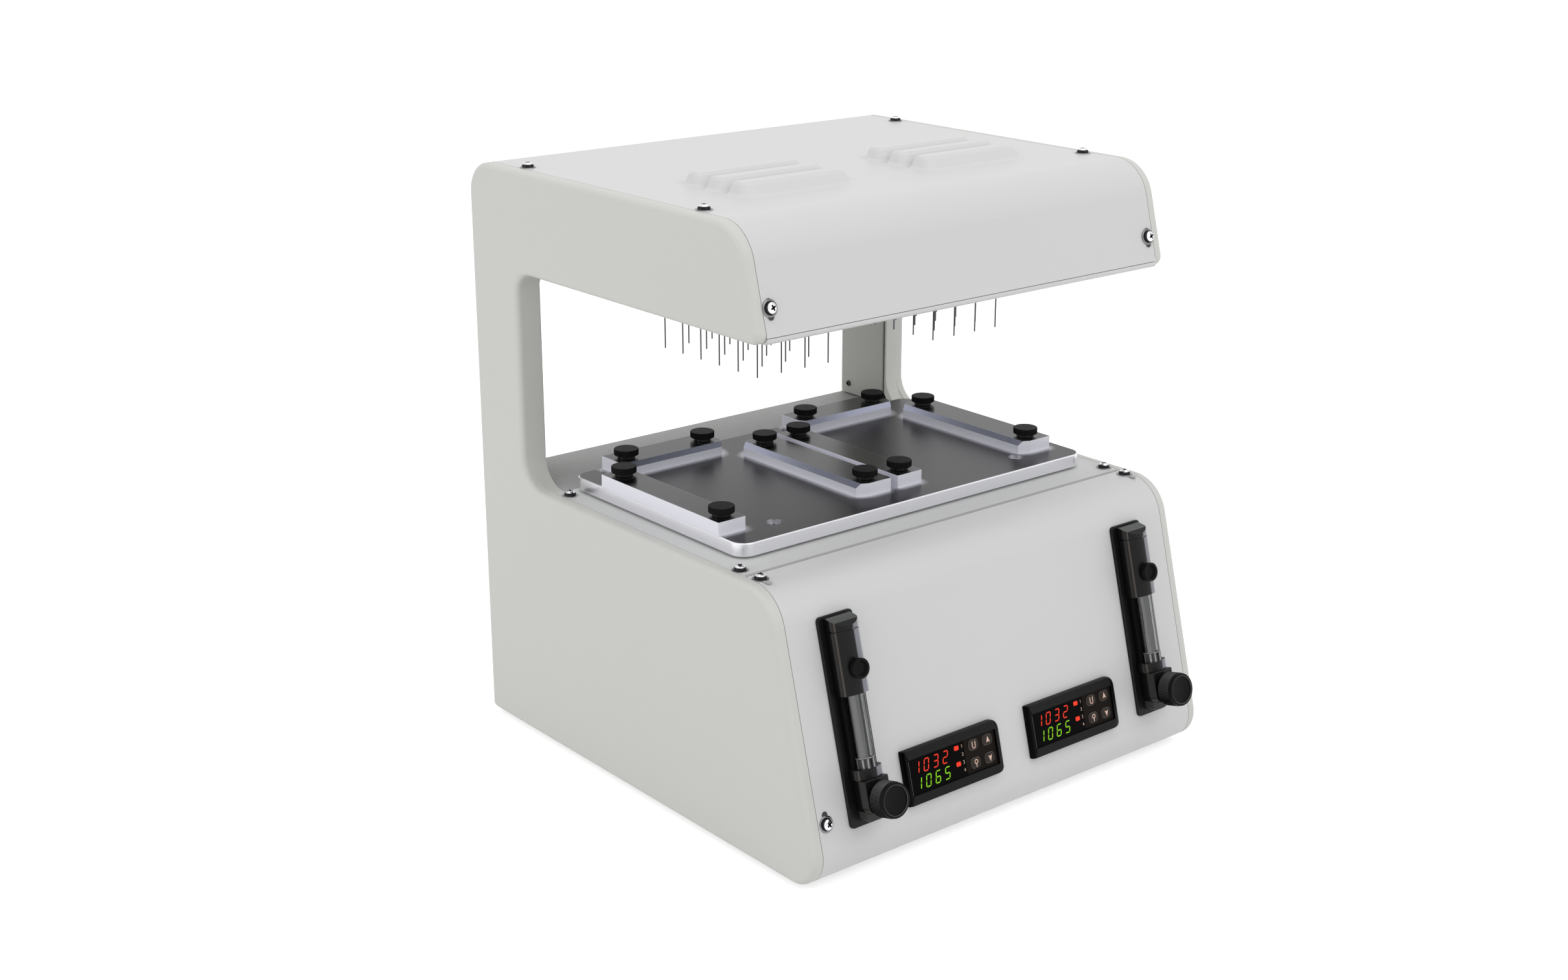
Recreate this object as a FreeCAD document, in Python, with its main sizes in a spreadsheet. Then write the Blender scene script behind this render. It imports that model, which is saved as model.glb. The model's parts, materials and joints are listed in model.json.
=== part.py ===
import FreeCAD, Part
import math
import os
import Sketcher

# Bench-top sample evaporator. A grey housing with a C-shaped panel at each side carries a head with two
# stations of gas needles over a lifting tray. Two nests on the tray hold the sample plates between slotted
# guides. The sloping front carries two flowmeters and two temperature controllers.
# Millimetres, +Z up, +X to the right seen from the front, front towards -Y. The origin lies on the bench
# below the middle of the housing.

SIZES = {
    # Side panels: the C outline seen from the side, and the stepped section across its thickness.
    "housing_width": 323.0,
    "housing_top": 370.8,
    "head_bottom": 307.4,
    "deck_top": 171.0,
    "foot_height": 3.0,
    "rear_reach": 170.0,
    "jamb_front": 120.0,
    "head_front": 99.4,
    "deck_front": 124.75,
    "front_tilt": 15.0,
    "panel_width": 16.8,
    "rim_width": 7.0,
    "outer_wall": 4.0,
    "rim_wall": 5.0,
    "rim_round": 3.4,
    "rear_top_radius": 20.0,
    "head_top_radius": 26.0,
    "head_lip_radius": 5.5,
    "pan_lip_radius": 2.4,
    "throat_top_radius": 13.0,
    "throat_low_radius": 18.0,
    "deck_bend_radius": 26.5,
    "toe_radius": 19.0,
    "heel_radius": 4.0,
    # Sheet covers.
    "sheet": 2.0,
    "cover_gap": 0.4,
    "seam_gap": 0.8,
    "deck_seam": 96.0,
    "deck_back": 94.2,
    "rear_deck_drop": 2.0,
    "head_seam_height": 3.8,
    "toe_return": 6.0,
    "pan_flange": 14.0,
    "column_cover_front": 122.5,
    "column_cover_back": 165.0,
    "column_cover_corner": 4.0,
    "column_cover_gap": 0.7,
    # Ventilation hoods pressed up out of the head cover.
    "hood_length": 86.0,
    "hood_depth": 19.5,
    "hood_rise": 7.2,
    "hood_wall": 1.0,
    "hood_front_lean": 11.5,
    "hood_end_lean": 6.0,
    "hood_corner": 9.5,
    "hood_pitch": 20.6,
    "hood_mouth": -6.8,
    # Needle stations.
    "station_x": 69.76,
    "work_middle": 10.0,
    "needle_pitch": 18.0,
    "needle_radius": 0.45,
    "needle_tip": 263.0,
    "needle_seat": 8.0,
    "needle_fit": 0.04,
    "manifold_width": 84.0,
    "manifold_depth": 118.0,
    "manifold_height": 20.0,
    "manifold_flange": 7.0,
    "manifold_flange_thick": 4.0,
    "manifold_gap": 0.5,
    "manifold_radius": 3.0,
    "gas_tube_radius": 4.0,
    "gas_bend_radius": 16.0,
    # Tray and its nests.
    "tray_width": 282.0,
    "tray_depth": 170.0,
    "tray_thick": 8.0,
    "tray_gap": 1.5,
    "tray_radius": 9.5,
    "tray_edge": 0.6,
    "tray_screw_x": 100.0,
    "tray_screw_pitch": 128.5,
    "tray_screw_radius": 2.7,
    "tray_sink_radius": 4.8,
    "tray_sink_depth": 4.6,
    "nest_width": 88.2,
    "nest_right_x": 61.75,
    "clamp_width": 19.8,
    "lip_width": 25.2,
    "guide_height": 8.2,
    "guide_length": 117.0,
    "guide_middle": 4.5,
    "back_length": 80.0,
    "back_width": 24.9,
    "back_front": 69.3,
    "back_left_x": -79.1,
    "back_right_x": 67.6,
    "lead_in": 2.9,
    "corner_across": 7.2,
    "corner_along": 3.8,
    "guide_travel": 2.5,
    "screw_pitch": 97.4,
    "back_screw_pitch": 60.0,
    # Thumb screws.
    "thumb_head_radius": 8.0,
    "thumb_head_height": 4.0,
    "thumb_neck_radius": 4.75,
    "thumb_neck_height": 2.1,
    "thumb_shank_radius": 2.4,
    "thumb_reach": 5.0,
    "thread_fit": 0.05,
    "slot_gap": 0.3,
    # Lift under the deck.
    "lift_travel": 40.0,
    "rod_radius": 6.0,
    "rod_length": 112.0,
    "bushing_radius": 11.0,
    "bushing_height": 25.0,
    "bushing_flange_reach": 14.0,
    "bushing_flange_thick": 4.0,
    "rod_fit": 0.06,
    "rod_gap": 0.8,
    "crosshead_thick": 8.0,
    "crosshead_margin": 12.0,
    "spindle_radius": 6.0,
    "spindle_length": 43.5,
    "actuator_radius": 22.0,
    "actuator_gap": 1.0,
    "actuator_plate": 70.0,
    "actuator_plate_thick": 6.0,
    # Flowmeters, measured down the sloping face from the front edge of the deck.
    "flow_inset": 41.7,
    "flow_drop": 20.3,
    "flow_plate_width": 25.8,
    "flow_plate_length": 121.7,
    "flow_plate_thick": 2.0,
    "flow_plate_radius": 4.0,
    "flow_width": 19.8,
    "flow_block_depth": 6.0,
    "flow_front": 13.6,
    "flow_front_radius": 4.6,
    "flow_cap_width": 22.4,
    "flow_cap_length": 7.0,
    "flow_cap_slope": 4.0,
    "flow_groove": 1.2,
    "flow_groove_depth": 1.2,
    "shroud_length": 45.5,
    "tube_length": 42.5,
    "tube_radius": 5.7,
    "tube_bore": 3.4,
    "tube_axis": 7.8,
    "tube_seat": 3.0,
    "tube_gap": 0.05,
    "collar_length": 6.0,
    "valve_length": 20.0,
    "valve_front": 17.8,
    "valve_width": 19.0,
    "valve_round": 7.0,
    "valve_drop": 105.5,
    "flow_foot_width": 12.0,
    "flow_foot_length": 5.0,
    "flow_foot_depth": 9.0,
    "float_radius": 3.0,
    "float_length": 7.0,
    "float_lift": 30.0,
    "float_cone": 2.4,
    "valve_knob_radius": 10.5,
    "valve_knob_length": 10.8,
    "valve_knob_grip": 5.2,
    "valve_knob_cap_radius": 9.9,
    "valve_knob_recess": 1.0,
    "valve_knob_rim": 2.0,
    "valve_knob_gap": 0.3,
    "valve_stem_radius": 3.0,
    "valve_stem_length": 8.0,
    "valve_fit": 0.05,
    "flute_depth": 0.7,
    "flute_width": 3.2,
    "shroud_knob_drop": 30.8,
    "shroud_knob_radius": 5.8,
    "shroud_knob_length": 4.2,
    "shroud_knob_waist": 5.0,
    "shroud_knob_dish": 4.4,
    "shroud_knob_dish_depth": 1.4,
    # Controllers.
    "control_x": 50.3,
    "control_middle": -1.2,
    "control_drop": 109.3,
    "control_width": 75.8,
    "control_height": 32.8,
    "control_depth": 4.2,
    "control_radius": 1.2,
    "control_bevel": 1.2,
    "case_width": 70.0,
    "case_height": 28.0,
    "case_depth": 46.0,
    "case_gap": 0.5,
    "window_width": 69.4,
    "window_height": 21.2,
    "window_shift_x": 0.2,
    "window_drop": 0.3,
    "window_depth": 1.5,
    "window_slope": 20.0,
    "key_x": 22.4,
    "key_rise": 0.3,
    "key_pitch_x": 11.4,
    "key_pitch_y": 10.9,
    "key_width": 7.0,
    "key_height": 5.7,
    "key_radius": 2.2,
    "key_stand": 0.9,
    "key_seat": 1.6,
    "key_fit": 0.06,
    "key_travel": 0.5,
    # Rear services.
    "gas_inlet_x": 60.0,
    "gas_inlet_height": 342.0,
    "gas_flange_radius": 9.0,
    "gas_flange_thick": 3.0,
    "gas_neck_radius": 5.0,
    "gas_barb_radius": 4.2,
    "gas_barb_bore": 2.0,
    "gas_reach": 17.7,
    "gas_hole_gap": 0.3,
    "inlet_x": -100.0,
    "inlet_height": 60.0,
    "inlet_width": 50.0,
    "inlet_tall": 28.0,
    "inlet_flange": 3.0,
    "inlet_radius": 5.0,
    "inlet_body_width": 27.6,
    "inlet_body_tall": 20.4,
    "inlet_body_depth": 24.0,
    "inlet_socket_depth": 17.0,
    "inlet_socket_wall": 2.0,
    "inlet_chamfer": 5.0,
    "pin_width": 2.0,
    "pin_tall": 4.0,
    "pin_length": 14.0,
    "pin_pitch": 7.0,
    "pin_rise": 2.0,
    "switch_x": -55.0,
    "switch_width": 15.0,
    "switch_tall": 21.0,
    "switch_frame": 2.4,
    "switch_frame_thick": 2.0,
    "switch_body_depth": 18.0,
    "rocker_gap": 0.3,
    "rocker_tall": 15.8,
    "rocker_well": 10.6,
    "rocker_depth": 6.0,
    "rocker_pin_radius": 1.2,
    "rocker_pin_fit": 0.05,
    # Feet.
    "foot_radius": 12.0,
    "foot_top_radius": 10.5,
    "foot_x": 122.0,
    "foot_front": 118.0,
    "foot_back": 135.0,
    # One overrun serves every cut.
    "overrun": 2.0,
}

ROWS = 6
COLUMNS = 4
FLUTES = 12
NEEDLE_SIDES = 8
SCREW_SIDES = 24
SHANK_SIDES = 16
BARBS = 2
TUBE_SIDES = 12
HOODS = 3
RUN_SHARE = 0.8
# One row for each outline of a hood, from its foot up: shares of the rise, of both leans and of the corner.
HOOD_SHARES = [(0.0, 0.0, 0.0, 1.0), (0.17, 0.3, 0.33, 0.85), (0.8, 0.74, 0.75, 0.6), (1.0, 1.0, 1.0, 0.4)]
HOOD_SKIN_SHARE = 0.55

doc = FreeCAD.newDocument("SampleEvaporator")
sheet = doc.addObject("Spreadsheet::Sheet", "Sizes")
for row, (word, number) in enumerate(SIZES.items(), start=1):
    sheet.set("A%d" % row, word)
    sheet.set("B%d" % row, "%s" % number)
    sheet.setAlias("B%d" % row, word)
doc.recompute()


class Size:
    """A length or count together with the sheet expression that it follows."""

    def __init__(self, value, text):
        self.value = float(value)
        self.text = text

    def __float__(self):
        return self.value

    def __add__(self, other):
        other = as_size(other)
        return Size(self.value + other.value, "(%s + %s)" % (self.text, other.text))

    def __radd__(self, other):
        return as_size(other) + self

    def __sub__(self, other):
        other = as_size(other)
        return Size(self.value - other.value, "(%s - %s)" % (self.text, other.text))

    def __rsub__(self, other):
        return as_size(other) - self

    def __mul__(self, other):
        other = as_size(other)
        return Size(self.value * other.value, "(%s * %s)" % (self.text, other.text))

    def __rmul__(self, other):
        return as_size(other) * self

    def __truediv__(self, other):
        other = as_size(other)
        return Size(self.value / other.value, "(%s / %s)" % (self.text, other.text))

    def __neg__(self):
        return Size(-self.value, "(0 - %s)" % self.text)


def as_size(number):
    return number if isinstance(number, Size) else Size(number, repr(number))


class Dimensions:
    """Reads each size from the sheet by its alias."""

    def __getattr__(self, word):
        return Size(sheet.get(word), "Sizes." + word)


dim = Dimensions()
ZERO = as_size(0)
UP = FreeCAD.Vector(0, 0, 1)
ALONG = FreeCAD.Vector(1, 0, 0)
pieces = []


def tan_of(angle):
    return Size(math.tan(math.radians(float(angle))), "tan(%s)" % angle.text)


def sin_of(angle):
    return Size(math.sin(math.radians(float(angle))), "sin(%s)" % angle.text)


def cos_of(angle):
    return Size(math.cos(math.radians(float(angle))), "cos(%s)" % angle.text)


def bind(thing, prop, size):
    """Ties one property to the sheet, and sets it at once so that later steps can measure the shape."""
    thing.setExpression(prop, as_size(size).text)


def keep(thing, label):
    thing.Label = label
    pieces.append(thing)
    return thing


def place(thing, x, y, z, tilt=None):
    """Puts a piece at (x, y, z), turned about X by the tilt where one is given."""
    if tilt is not None:
        thing.Placement = FreeCAD.Placement(FreeCAD.Vector(), FreeCAD.Rotation(ALONG, float(tilt)))
        bind(thing, "Placement.Rotation.Angle", tilt)
    bind(thing, "Placement.Base.x", x)
    bind(thing, "Placement.Base.y", y)
    bind(thing, "Placement.Base.z", z)


# Sketches.


def new_body(label):
    return keep(doc.addObject("PartDesign::Body", label), label)


def sketch_on(body, plane, height=ZERO):
    """A sketch on an origin plane of the body, moved along the plane's normal by the height."""
    sketch = body.newObject("Sketcher::SketchObject", body.Name + "_sketch")
    support = [item for item in body.Origin.OriginFeatures if item.Role == plane + "_Plane"][0]
    sketch.AttachmentSupport = (support, [""])
    sketch.MapMode = "FlatFace"
    bind(sketch, "AttachmentOffset.Base.z", height)
    return sketch


def fix_point(sketch, geometry, vertex, x, y):
    """Ties a point of the sketch to its two sizes, or to an axis where the size is zero."""
    for kind, size, axis in (("DistanceX", as_size(x), -2), ("DistanceY", as_size(y), -1)):
        if size.value == 0:
            sketch.addConstraint(Sketcher.Constraint("PointOnObject", geometry, vertex, axis))
        else:
            row = sketch.addConstraint(Sketcher.Constraint(kind, -1, 1, geometry, vertex, size.value))
            sketch.setExpression("Constraints[%d]" % row, size.text)


def fix_radius(sketch, geometry, radius):
    row = sketch.addConstraint(Sketcher.Constraint("Radius", geometry, float(radius)))
    sketch.setExpression("Constraints[%d]" % row, as_size(radius).text)


def add_circle(sketch, x, y, radius):
    centre = FreeCAD.Vector(float(x), float(y), 0)
    circle = sketch.addGeometry(Part.Circle(centre, UP, float(radius)))
    fix_radius(sketch, circle, radius)
    fix_point(sketch, circle, 3, x, y)


def corner_arc(point, before, after, radius):
    """The arc that rounds one corner, with its two ends."""
    inward = (before - point).normalize()
    onward = (after - point).normalize()
    half = inward.getAngle(onward) / 2
    start = point + inward * (radius / math.tan(half))
    end = point + onward * (radius / math.tan(half))
    centre = point + (inward + onward).normalize() * (radius / math.sin(half))
    first, second = start, end
    if (point - before).cross(after - point).z < 0:
        first, second = end, start
    angles = [math.atan2(spot.y - centre.y, spot.x - centre.x) for spot in (first, second)]
    arc = Part.ArcOfCircle(Part.Circle(centre, UP, radius), angles[0], angles[1])
    return arc, start, end


def add_outline(sketch, corners):
    """A closed outline through corners (x, y) or (x, y, radius), each arc tangent to both its sides."""
    corners = [(corner + (ZERO,))[:3] for corner in corners]
    points = [FreeCAD.Vector(float(x), float(y), 0) for x, y, radius in corners]
    count = len(corners)
    arcs, starts, ends = [], [], []
    for index, (x, y, radius) in enumerate(corners):
        arc, start, end = None, points[index], points[index]
        if float(radius) > 0:
            arc, start, end = corner_arc(points[index], points[index - 1], points[(index + 1) % count], float(radius))
            arc = sketch.addGeometry(arc)
        arcs.append(arc)
        starts.append(start)
        ends.append(end)
    sides = [
        sketch.addGeometry(Part.LineSegment(ends[index], starts[(index + 1) % count])) for index in range(count)
    ]
    for index, (x, y, radius) in enumerate(corners):
        before, after, arc = sides[index - 1], sides[index], arcs[index]
        if arc is None:
            sketch.addConstraint(Sketcher.Constraint("Coincident", before, 2, after, 1))
            fix_point(sketch, after, 1, x, y)
            continue
        shape = sketch.Geometry[arc]
        near, far = 1, 2
        if shape.EndPoint.distanceToPoint(starts[index]) < shape.StartPoint.distanceToPoint(starts[index]):
            near, far = 2, 1
        sketch.addConstraint(Sketcher.Constraint("Tangent", before, 2, arc, near))
        sketch.addConstraint(Sketcher.Constraint("Tangent", arc, far, after, 1))
        fix_radius(sketch, arc, radius)
        corner = sketch.addGeometry(Part.Point(points[index]), True)
        sketch.addConstraint(Sketcher.Constraint("PointOnObject", corner, 1, before))
        sketch.addConstraint(Sketcher.Constraint("PointOnObject", corner, 1, after))
        fix_point(sketch, corner, 1, x, y)


def add_box_outline(sketch, left, right, low, high, radius=ZERO):
    add_outline(sketch, [(left, low, radius), (right, low, radius), (right, high, radius), (left, high, radius)])


def add_polygon(sketch, x, y, radius, sides):
    """A regular outline whose first corner lies along X, as a prism's does."""
    corners = []
    for step in range(sides):
        angle = 2 * math.pi * step / sides
        corners.append((x + math.cos(angle) * radius, y + math.sin(angle) * radius))
    add_outline(sketch, corners)


def add_slot(sketch, x, y, length, radius, along_x):
    """A round-ended slot about (x, y), with its centres a length apart."""
    centres = []
    for side in (-1, 1):
        offset = side * length / 2
        centres.append((x + offset, y) if along_x else (x, y + offset))
    reach = float(radius)
    across = FreeCAD.Vector(0, reach, 0) if along_x else FreeCAD.Vector(-reach, 0, 0)
    spots = [FreeCAD.Vector(float(cx), float(cy), 0) for cx, cy in centres]
    turn = math.pi / 2 if along_x else math.pi
    low = sketch.addGeometry(Part.ArcOfCircle(Part.Circle(spots[0], UP, reach), turn, turn + math.pi))
    high = sketch.addGeometry(Part.ArcOfCircle(Part.Circle(spots[1], UP, reach), turn + math.pi, turn + 2 * math.pi))
    near = sketch.addGeometry(Part.LineSegment(spots[0] - across, spots[1] - across))
    back = sketch.addGeometry(Part.LineSegment(spots[1] + across, spots[0] + across))
    sketch.addConstraint(Sketcher.Constraint("Tangent", low, 2, near, 1))
    sketch.addConstraint(Sketcher.Constraint("Tangent", near, 2, high, 1))
    sketch.addConstraint(Sketcher.Constraint("Tangent", high, 2, back, 1))
    sketch.addConstraint(Sketcher.Constraint("Tangent", back, 2, low, 1))
    fix_radius(sketch, low, radius)
    for arc, (cx, cy) in zip((low, high), centres):
        fix_point(sketch, arc, 3, cx, cy)


# Features.


def feature(body, kind, sketch, values, **settings):
    made = body.newObject("PartDesign::" + kind, body.Name + "_" + kind.lower())
    made.Profile = sketch
    for prop, size in values.items():
        bind(made, prop, size)
    for prop, value in settings.items():
        setattr(made, prop, value)
    return made


def pad(body, sketch, length, both_ways=False):
    return feature(body, "Pad", sketch, {"Length": length}, Midplane=both_ways)


def cut_from(body, kind, sketch, values, **settings):
    """A cut, checked to take material away."""
    doc.recompute()
    before = body.Shape.Volume
    made = feature(body, kind, sketch, values, **settings)
    doc.recompute()
    if not body.Shape.Volume < before:
        raise ValueError(body.Label + ": a cut misses the solid")
    return made


def pocket(body, sketch, depth, both_ways=False, flip=False):
    return cut_from(body, "Pocket", sketch, {"Length": depth}, Midplane=both_ways, Reversed=flip)


def turn(body, sketch, axis="V_Axis"):
    made = feature(body, "Revolution", sketch, {}, ReferenceAxis=(sketch, [axis]))
    made.Angle = 360
    return made


def dress(body, kind, edges, prop, size):
    """A fillet or chamfer on the edges of the body's last feature that pass the test."""
    doc.recompute()
    base = body.Tip
    names = ["Edge%d" % (row + 1) for row, edge in enumerate(base.Shape.Edges) if edges(edge)]
    if not names:
        raise ValueError(body.Label + ": no edge to dress")
    made = body.newObject("PartDesign::" + kind, body.Name + "_" + kind.lower())
    made.Base = (base, names)
    bind(made, prop, size)
    doc.recompute()
    return made


def fillet(body, radius, edges):
    return dress(body, "Fillet", edges, "Radius", radius)


def chamfer(body, size, edges):
    return dress(body, "Chamfer", edges, "Size", size)


def near(one, two):
    return math.isclose(one, float(two), rel_tol=1e-7, abs_tol=1e-5)


def edge_at(**where):
    """Test for edges whose ends all lie at the given coordinates, such as z=top."""

    def test(edge):
        return all(near(getattr(vertex, axis.upper()), value) for vertex in edge.Vertexes
                   for axis, value in where.items())

    return test


# The side outline that the panels and covers share.


def base_face(height, inset=ZERO):
    """Y of the sloping front of the base at a height, moved in along the face's normal."""
    return inset / cos_of(dim.front_tilt) - dim.deck_front - (dim.deck_top - height) * tan_of(dim.front_tilt)


def head_face(height, inset=ZERO):
    return inset / cos_of(dim.front_tilt) - dim.head_front - (dim.housing_top - height) * tan_of(dim.front_tilt)


def tighter(radius, inset):
    """The radius that an outer corner keeps after the inset."""
    return radius - inset if float(radius) > float(inset) else ZERO


def side_outline(inset, jamb_inset):
    """The C outline of the housing in (Y, Z), moved into the material."""
    back = dim.rear_reach - inset
    top = dim.housing_top - inset
    low = dim.foot_height + inset
    throat_top = dim.head_bottom + inset
    throat_low = dim.deck_top - inset
    jamb = dim.jamb_front + jamb_inset
    return [
        (back, low, tighter(dim.heel_radius, inset)),
        (back, top, tighter(dim.rear_top_radius, inset)),
        (head_face(top, inset), top, tighter(dim.head_top_radius, inset)),
        (head_face(throat_top, inset), throat_top, tighter(dim.head_lip_radius, inset)),
        (jamb, throat_top, dim.throat_top_radius + inset),
        (jamb, throat_low, dim.throat_low_radius + inset),
        (base_face(throat_low, inset), throat_low, tighter(dim.deck_bend_radius, inset)),
        (base_face(low, inset), low, tighter(dim.toe_radius, inset)),
    ]


HALF = dim.housing_width / 2
RIM_INNER = HALF - dim.rim_width
PANEL_INNER = HALF - dim.panel_width
COVER_HALF = RIM_INNER - dim.cover_gap
STEP = dim.sheet


def make_side_panel(label, side):
    """A rim that stands flush with the covers, the ledge that carries them, and a hollow behind."""
    body = new_body(label)
    rim = sketch_on(body, "YZ", side * (RIM_INNER + dim.rim_width / 2))
    add_outline(rim, side_outline(ZERO, ZERO))
    pad(body, rim, dim.rim_width, both_ways=True)
    fillet(body, dim.rim_round, edge_at(x=side * HALF))
    ledge_width = dim.panel_width - dim.rim_width
    ledge = sketch_on(body, "YZ", side * (PANEL_INNER + ledge_width / 2))
    add_outline(ledge, side_outline(STEP, ZERO))
    pad(body, ledge, ledge_width, both_ways=True)
    depth = dim.panel_width - dim.outer_wall
    hollow = sketch_on(body, "YZ", side * (PANEL_INNER + depth / 2))
    add_outline(hollow, side_outline(STEP + dim.rim_wall, dim.rim_wall))
    pocket(body, hollow, depth, both_ways=True)
    return body


def make_column_cover(label):
    """The two flat plates that close the columns' inner sides."""
    low = dim.deck_top - dim.rear_deck_drop + dim.column_cover_gap
    high = dim.head_bottom - dim.column_cover_gap
    body = new_body(label)
    for side in (-1, 1):
        face = sketch_on(body, "YZ", side * (PANEL_INNER - dim.sheet / 2))
        add_box_outline(face, dim.column_cover_front, dim.column_cover_back, low, high, dim.column_cover_corner)
        pad(body, face, dim.sheet, both_ways=True)
    return body


def make_head_cover():
    """One sheet bent over the head: rear flange, top and sloping front, with six pressed hoods."""
    body = new_body("head_cover")
    seam = dim.head_bottom + dim.head_seam_height
    top, back, wall = dim.housing_top, dim.rear_reach, dim.sheet
    profile = sketch_on(body, "YZ")
    add_outline(profile, [
        (back, dim.head_bottom),
        (back, top, dim.rear_top_radius),
        (head_face(top), top, dim.head_top_radius),
        (head_face(seam), seam),
        (head_face(seam, wall), seam),
        (head_face(top - wall, wall), top - wall, tighter(dim.head_top_radius, wall)),
        (back - wall, top - wall, tighter(dim.rear_top_radius, wall)),
        (back - wall, dim.head_bottom),
    ])
    pad(body, profile, 2 * COVER_HALF, both_ways=True)
    for centre in station_centres():
        for row in range(HOODS):
            add_hood(body, centre, dim.hood_mouth + (row - (HOODS - 1) / 2) * dim.hood_pitch)
    holes = sketch_on(body, "XZ", -dim.rear_reach)
    for side in (-1, 1):
        add_circle(holes, side * dim.gas_inlet_x, dim.gas_inlet_height, dim.gas_neck_radius + dim.gas_hole_gap)
    pocket(body, holes, 2 * (dim.sheet + dim.overrun), both_ways=True)
    return body


def hood_section(step, skin):
    """One outline of a hood as (reach ahead of the mouth, half length, corner radius, height)."""
    rise, front_share, end_share, corner_share = HOOD_SHARES[step]
    reach = dim.hood_depth - front_share * dim.hood_front_lean - HOOD_SKIN_SHARE * skin
    half_length = dim.hood_length / 2 - end_share * dim.hood_end_lean - HOOD_SKIN_SHARE * skin
    return reach, half_length, corner_share * dim.hood_corner, dim.housing_top + rise * dim.hood_rise - skin


def add_hood(body, x, mouth):
    """One pressed louvre: closed and rounded to the front and the ends, open at its mouth to the rear."""
    steps = range(len(HOOD_SHARES))
    outer = [hood_section(step, ZERO) for step in steps]
    inner = [hood_section(step, dim.hood_wall) for step in steps[1:]]
    foot = inner[0][:3] + (dim.housing_top - dim.sheet,)
    loft_through(body, "AdditiveLoft", x, mouth, outer)
    loft_through(body, "SubtractiveLoft", x, mouth + dim.hood_wall, [foot] + inner, dim.hood_wall)


def loft_through(body, kind, x, back, sections, extra=ZERO):
    """A loft through outlines that are square at the back and rounded at their two front corners."""
    sketches = []
    for reach, half_length, radius, height in sections:
        sketch = sketch_on(body, "XY", height)
        left, right, front = x - half_length, x + half_length, back - extra - reach
        add_outline(sketch, [(left, front, radius), (right, front, radius), (right, back), (left, back)])
        sketches.append(sketch)
    made = body.newObject("PartDesign::" + kind, body.Name + "_" + kind.lower())
    made.Profile = sketches[0]
    made.Sections = sketches[1:]
    made.Ruled = True
    doc.recompute()
    return made


def station_centres():
    return [-dim.station_x, dim.station_x]


def make_head_underside():
    """The pan that closes the head from below, with an upturned front lip and a window for each manifold."""
    body = new_body("head_underside")
    low, wall = dim.head_bottom, dim.sheet
    lip = low + dim.head_seam_height - dim.cover_gap
    back = dim.rear_reach - wall - dim.cover_gap
    profile = sketch_on(body, "YZ")
    add_outline(profile, [
        (back, low),
        (back, low + wall),
        (head_face(low + wall, wall), low + wall, tighter(dim.pan_lip_radius, wall)),
        (head_face(lip, wall), lip),
        (head_face(lip), lip),
        (head_face(low), low, dim.pan_lip_radius),
    ])
    pad(body, profile, 2 * COVER_HALF, both_ways=True)
    cuts = sketch_on(body, "XY", low)
    notch = dim.jamb_front - dim.throat_top_radius - wall - dim.seam_gap
    for side in (-1, 1):
        inner, outer = side * (PANEL_INNER - dim.cover_gap), side * (COVER_HALF + dim.overrun)
        add_box_outline(cuts, min_of(inner, outer), max_of(inner, outer), notch, back + dim.overrun)
    across, along = dim.manifold_width / 2 + dim.manifold_gap, dim.manifold_depth / 2 + dim.manifold_gap
    for centre in station_centres():
        add_box_outline(cuts, centre - across, centre + across, dim.work_middle - along, dim.work_middle + along,
                        dim.manifold_radius + dim.manifold_gap)
    pocket(body, cuts, 2 * (wall + dim.overrun), both_ways=True)
    return body


def min_of(one, two):
    return one if float(one) < float(two) else two


def max_of(one, two):
    return two if float(one) < float(two) else one


def face_sketch(body):
    """A sketch that lies on the sloping base front, X across and Y up the slope from the deck edge."""
    sketch = sketch_on(body, "XZ", dim.deck_front)
    offset = FreeCAD.Rotation(FreeCAD.Vector(-1, 0, 0), float(dim.front_tilt))
    sketch.AttachmentOffset = FreeCAD.Placement(FreeCAD.Vector(), offset)
    bind(sketch, "AttachmentOffset.Base.z", dim.deck_front)
    bind(sketch, "AttachmentOffset.Base.y", dim.deck_top)
    bind(sketch, "AttachmentOffset.Rotation.Angle", dim.front_tilt)
    return sketch


def make_front_cover():
    """One sheet from the deck seam, over the bend and down the slope, turned under at the toe."""
    body = new_body("front_cover")
    top, low, wall = dim.deck_top, dim.foot_height, dim.sheet
    toe = base_face(low) + dim.toe_radius + dim.toe_return
    profile = sketch_on(body, "YZ")
    add_outline(profile, [
        (-dim.deck_seam, top),
        (base_face(top), top, dim.deck_bend_radius),
        (base_face(low), low, dim.toe_radius),
        (toe, low),
        (toe, low + wall),
        (base_face(low + wall, wall), low + wall, tighter(dim.toe_radius, wall)),
        (base_face(top - wall, wall), top - wall, tighter(dim.deck_bend_radius, wall)),
        (-dim.deck_seam, top - wall),
    ])
    pad(body, profile, 2 * COVER_HALF, both_ways=True)
    windows = face_sketch(body)
    middle = -dim.control_drop - dim.control_height / 2
    half_width, half_height = dim.case_width / 2 + dim.case_gap, dim.case_height / 2 + dim.case_gap
    for side in (-1, 1):
        centre = control_centre(side)
        add_box_outline(windows, centre - half_width, centre + half_width, middle - half_height, middle + half_height)
    pocket(body, windows, 2 * (wall + dim.overrun), both_ways=True)
    return body


def control_centre(side):
    return dim.control_middle + side * dim.control_x


def lift_places():
    """Axes of the four lift rods, under the tray's fixing screws."""
    return [(side * dim.tray_screw_x, dim.work_middle + end * dim.tray_screw_pitch / 2)
            for side in (-1, 1) for end in (-1, 1)]


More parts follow.
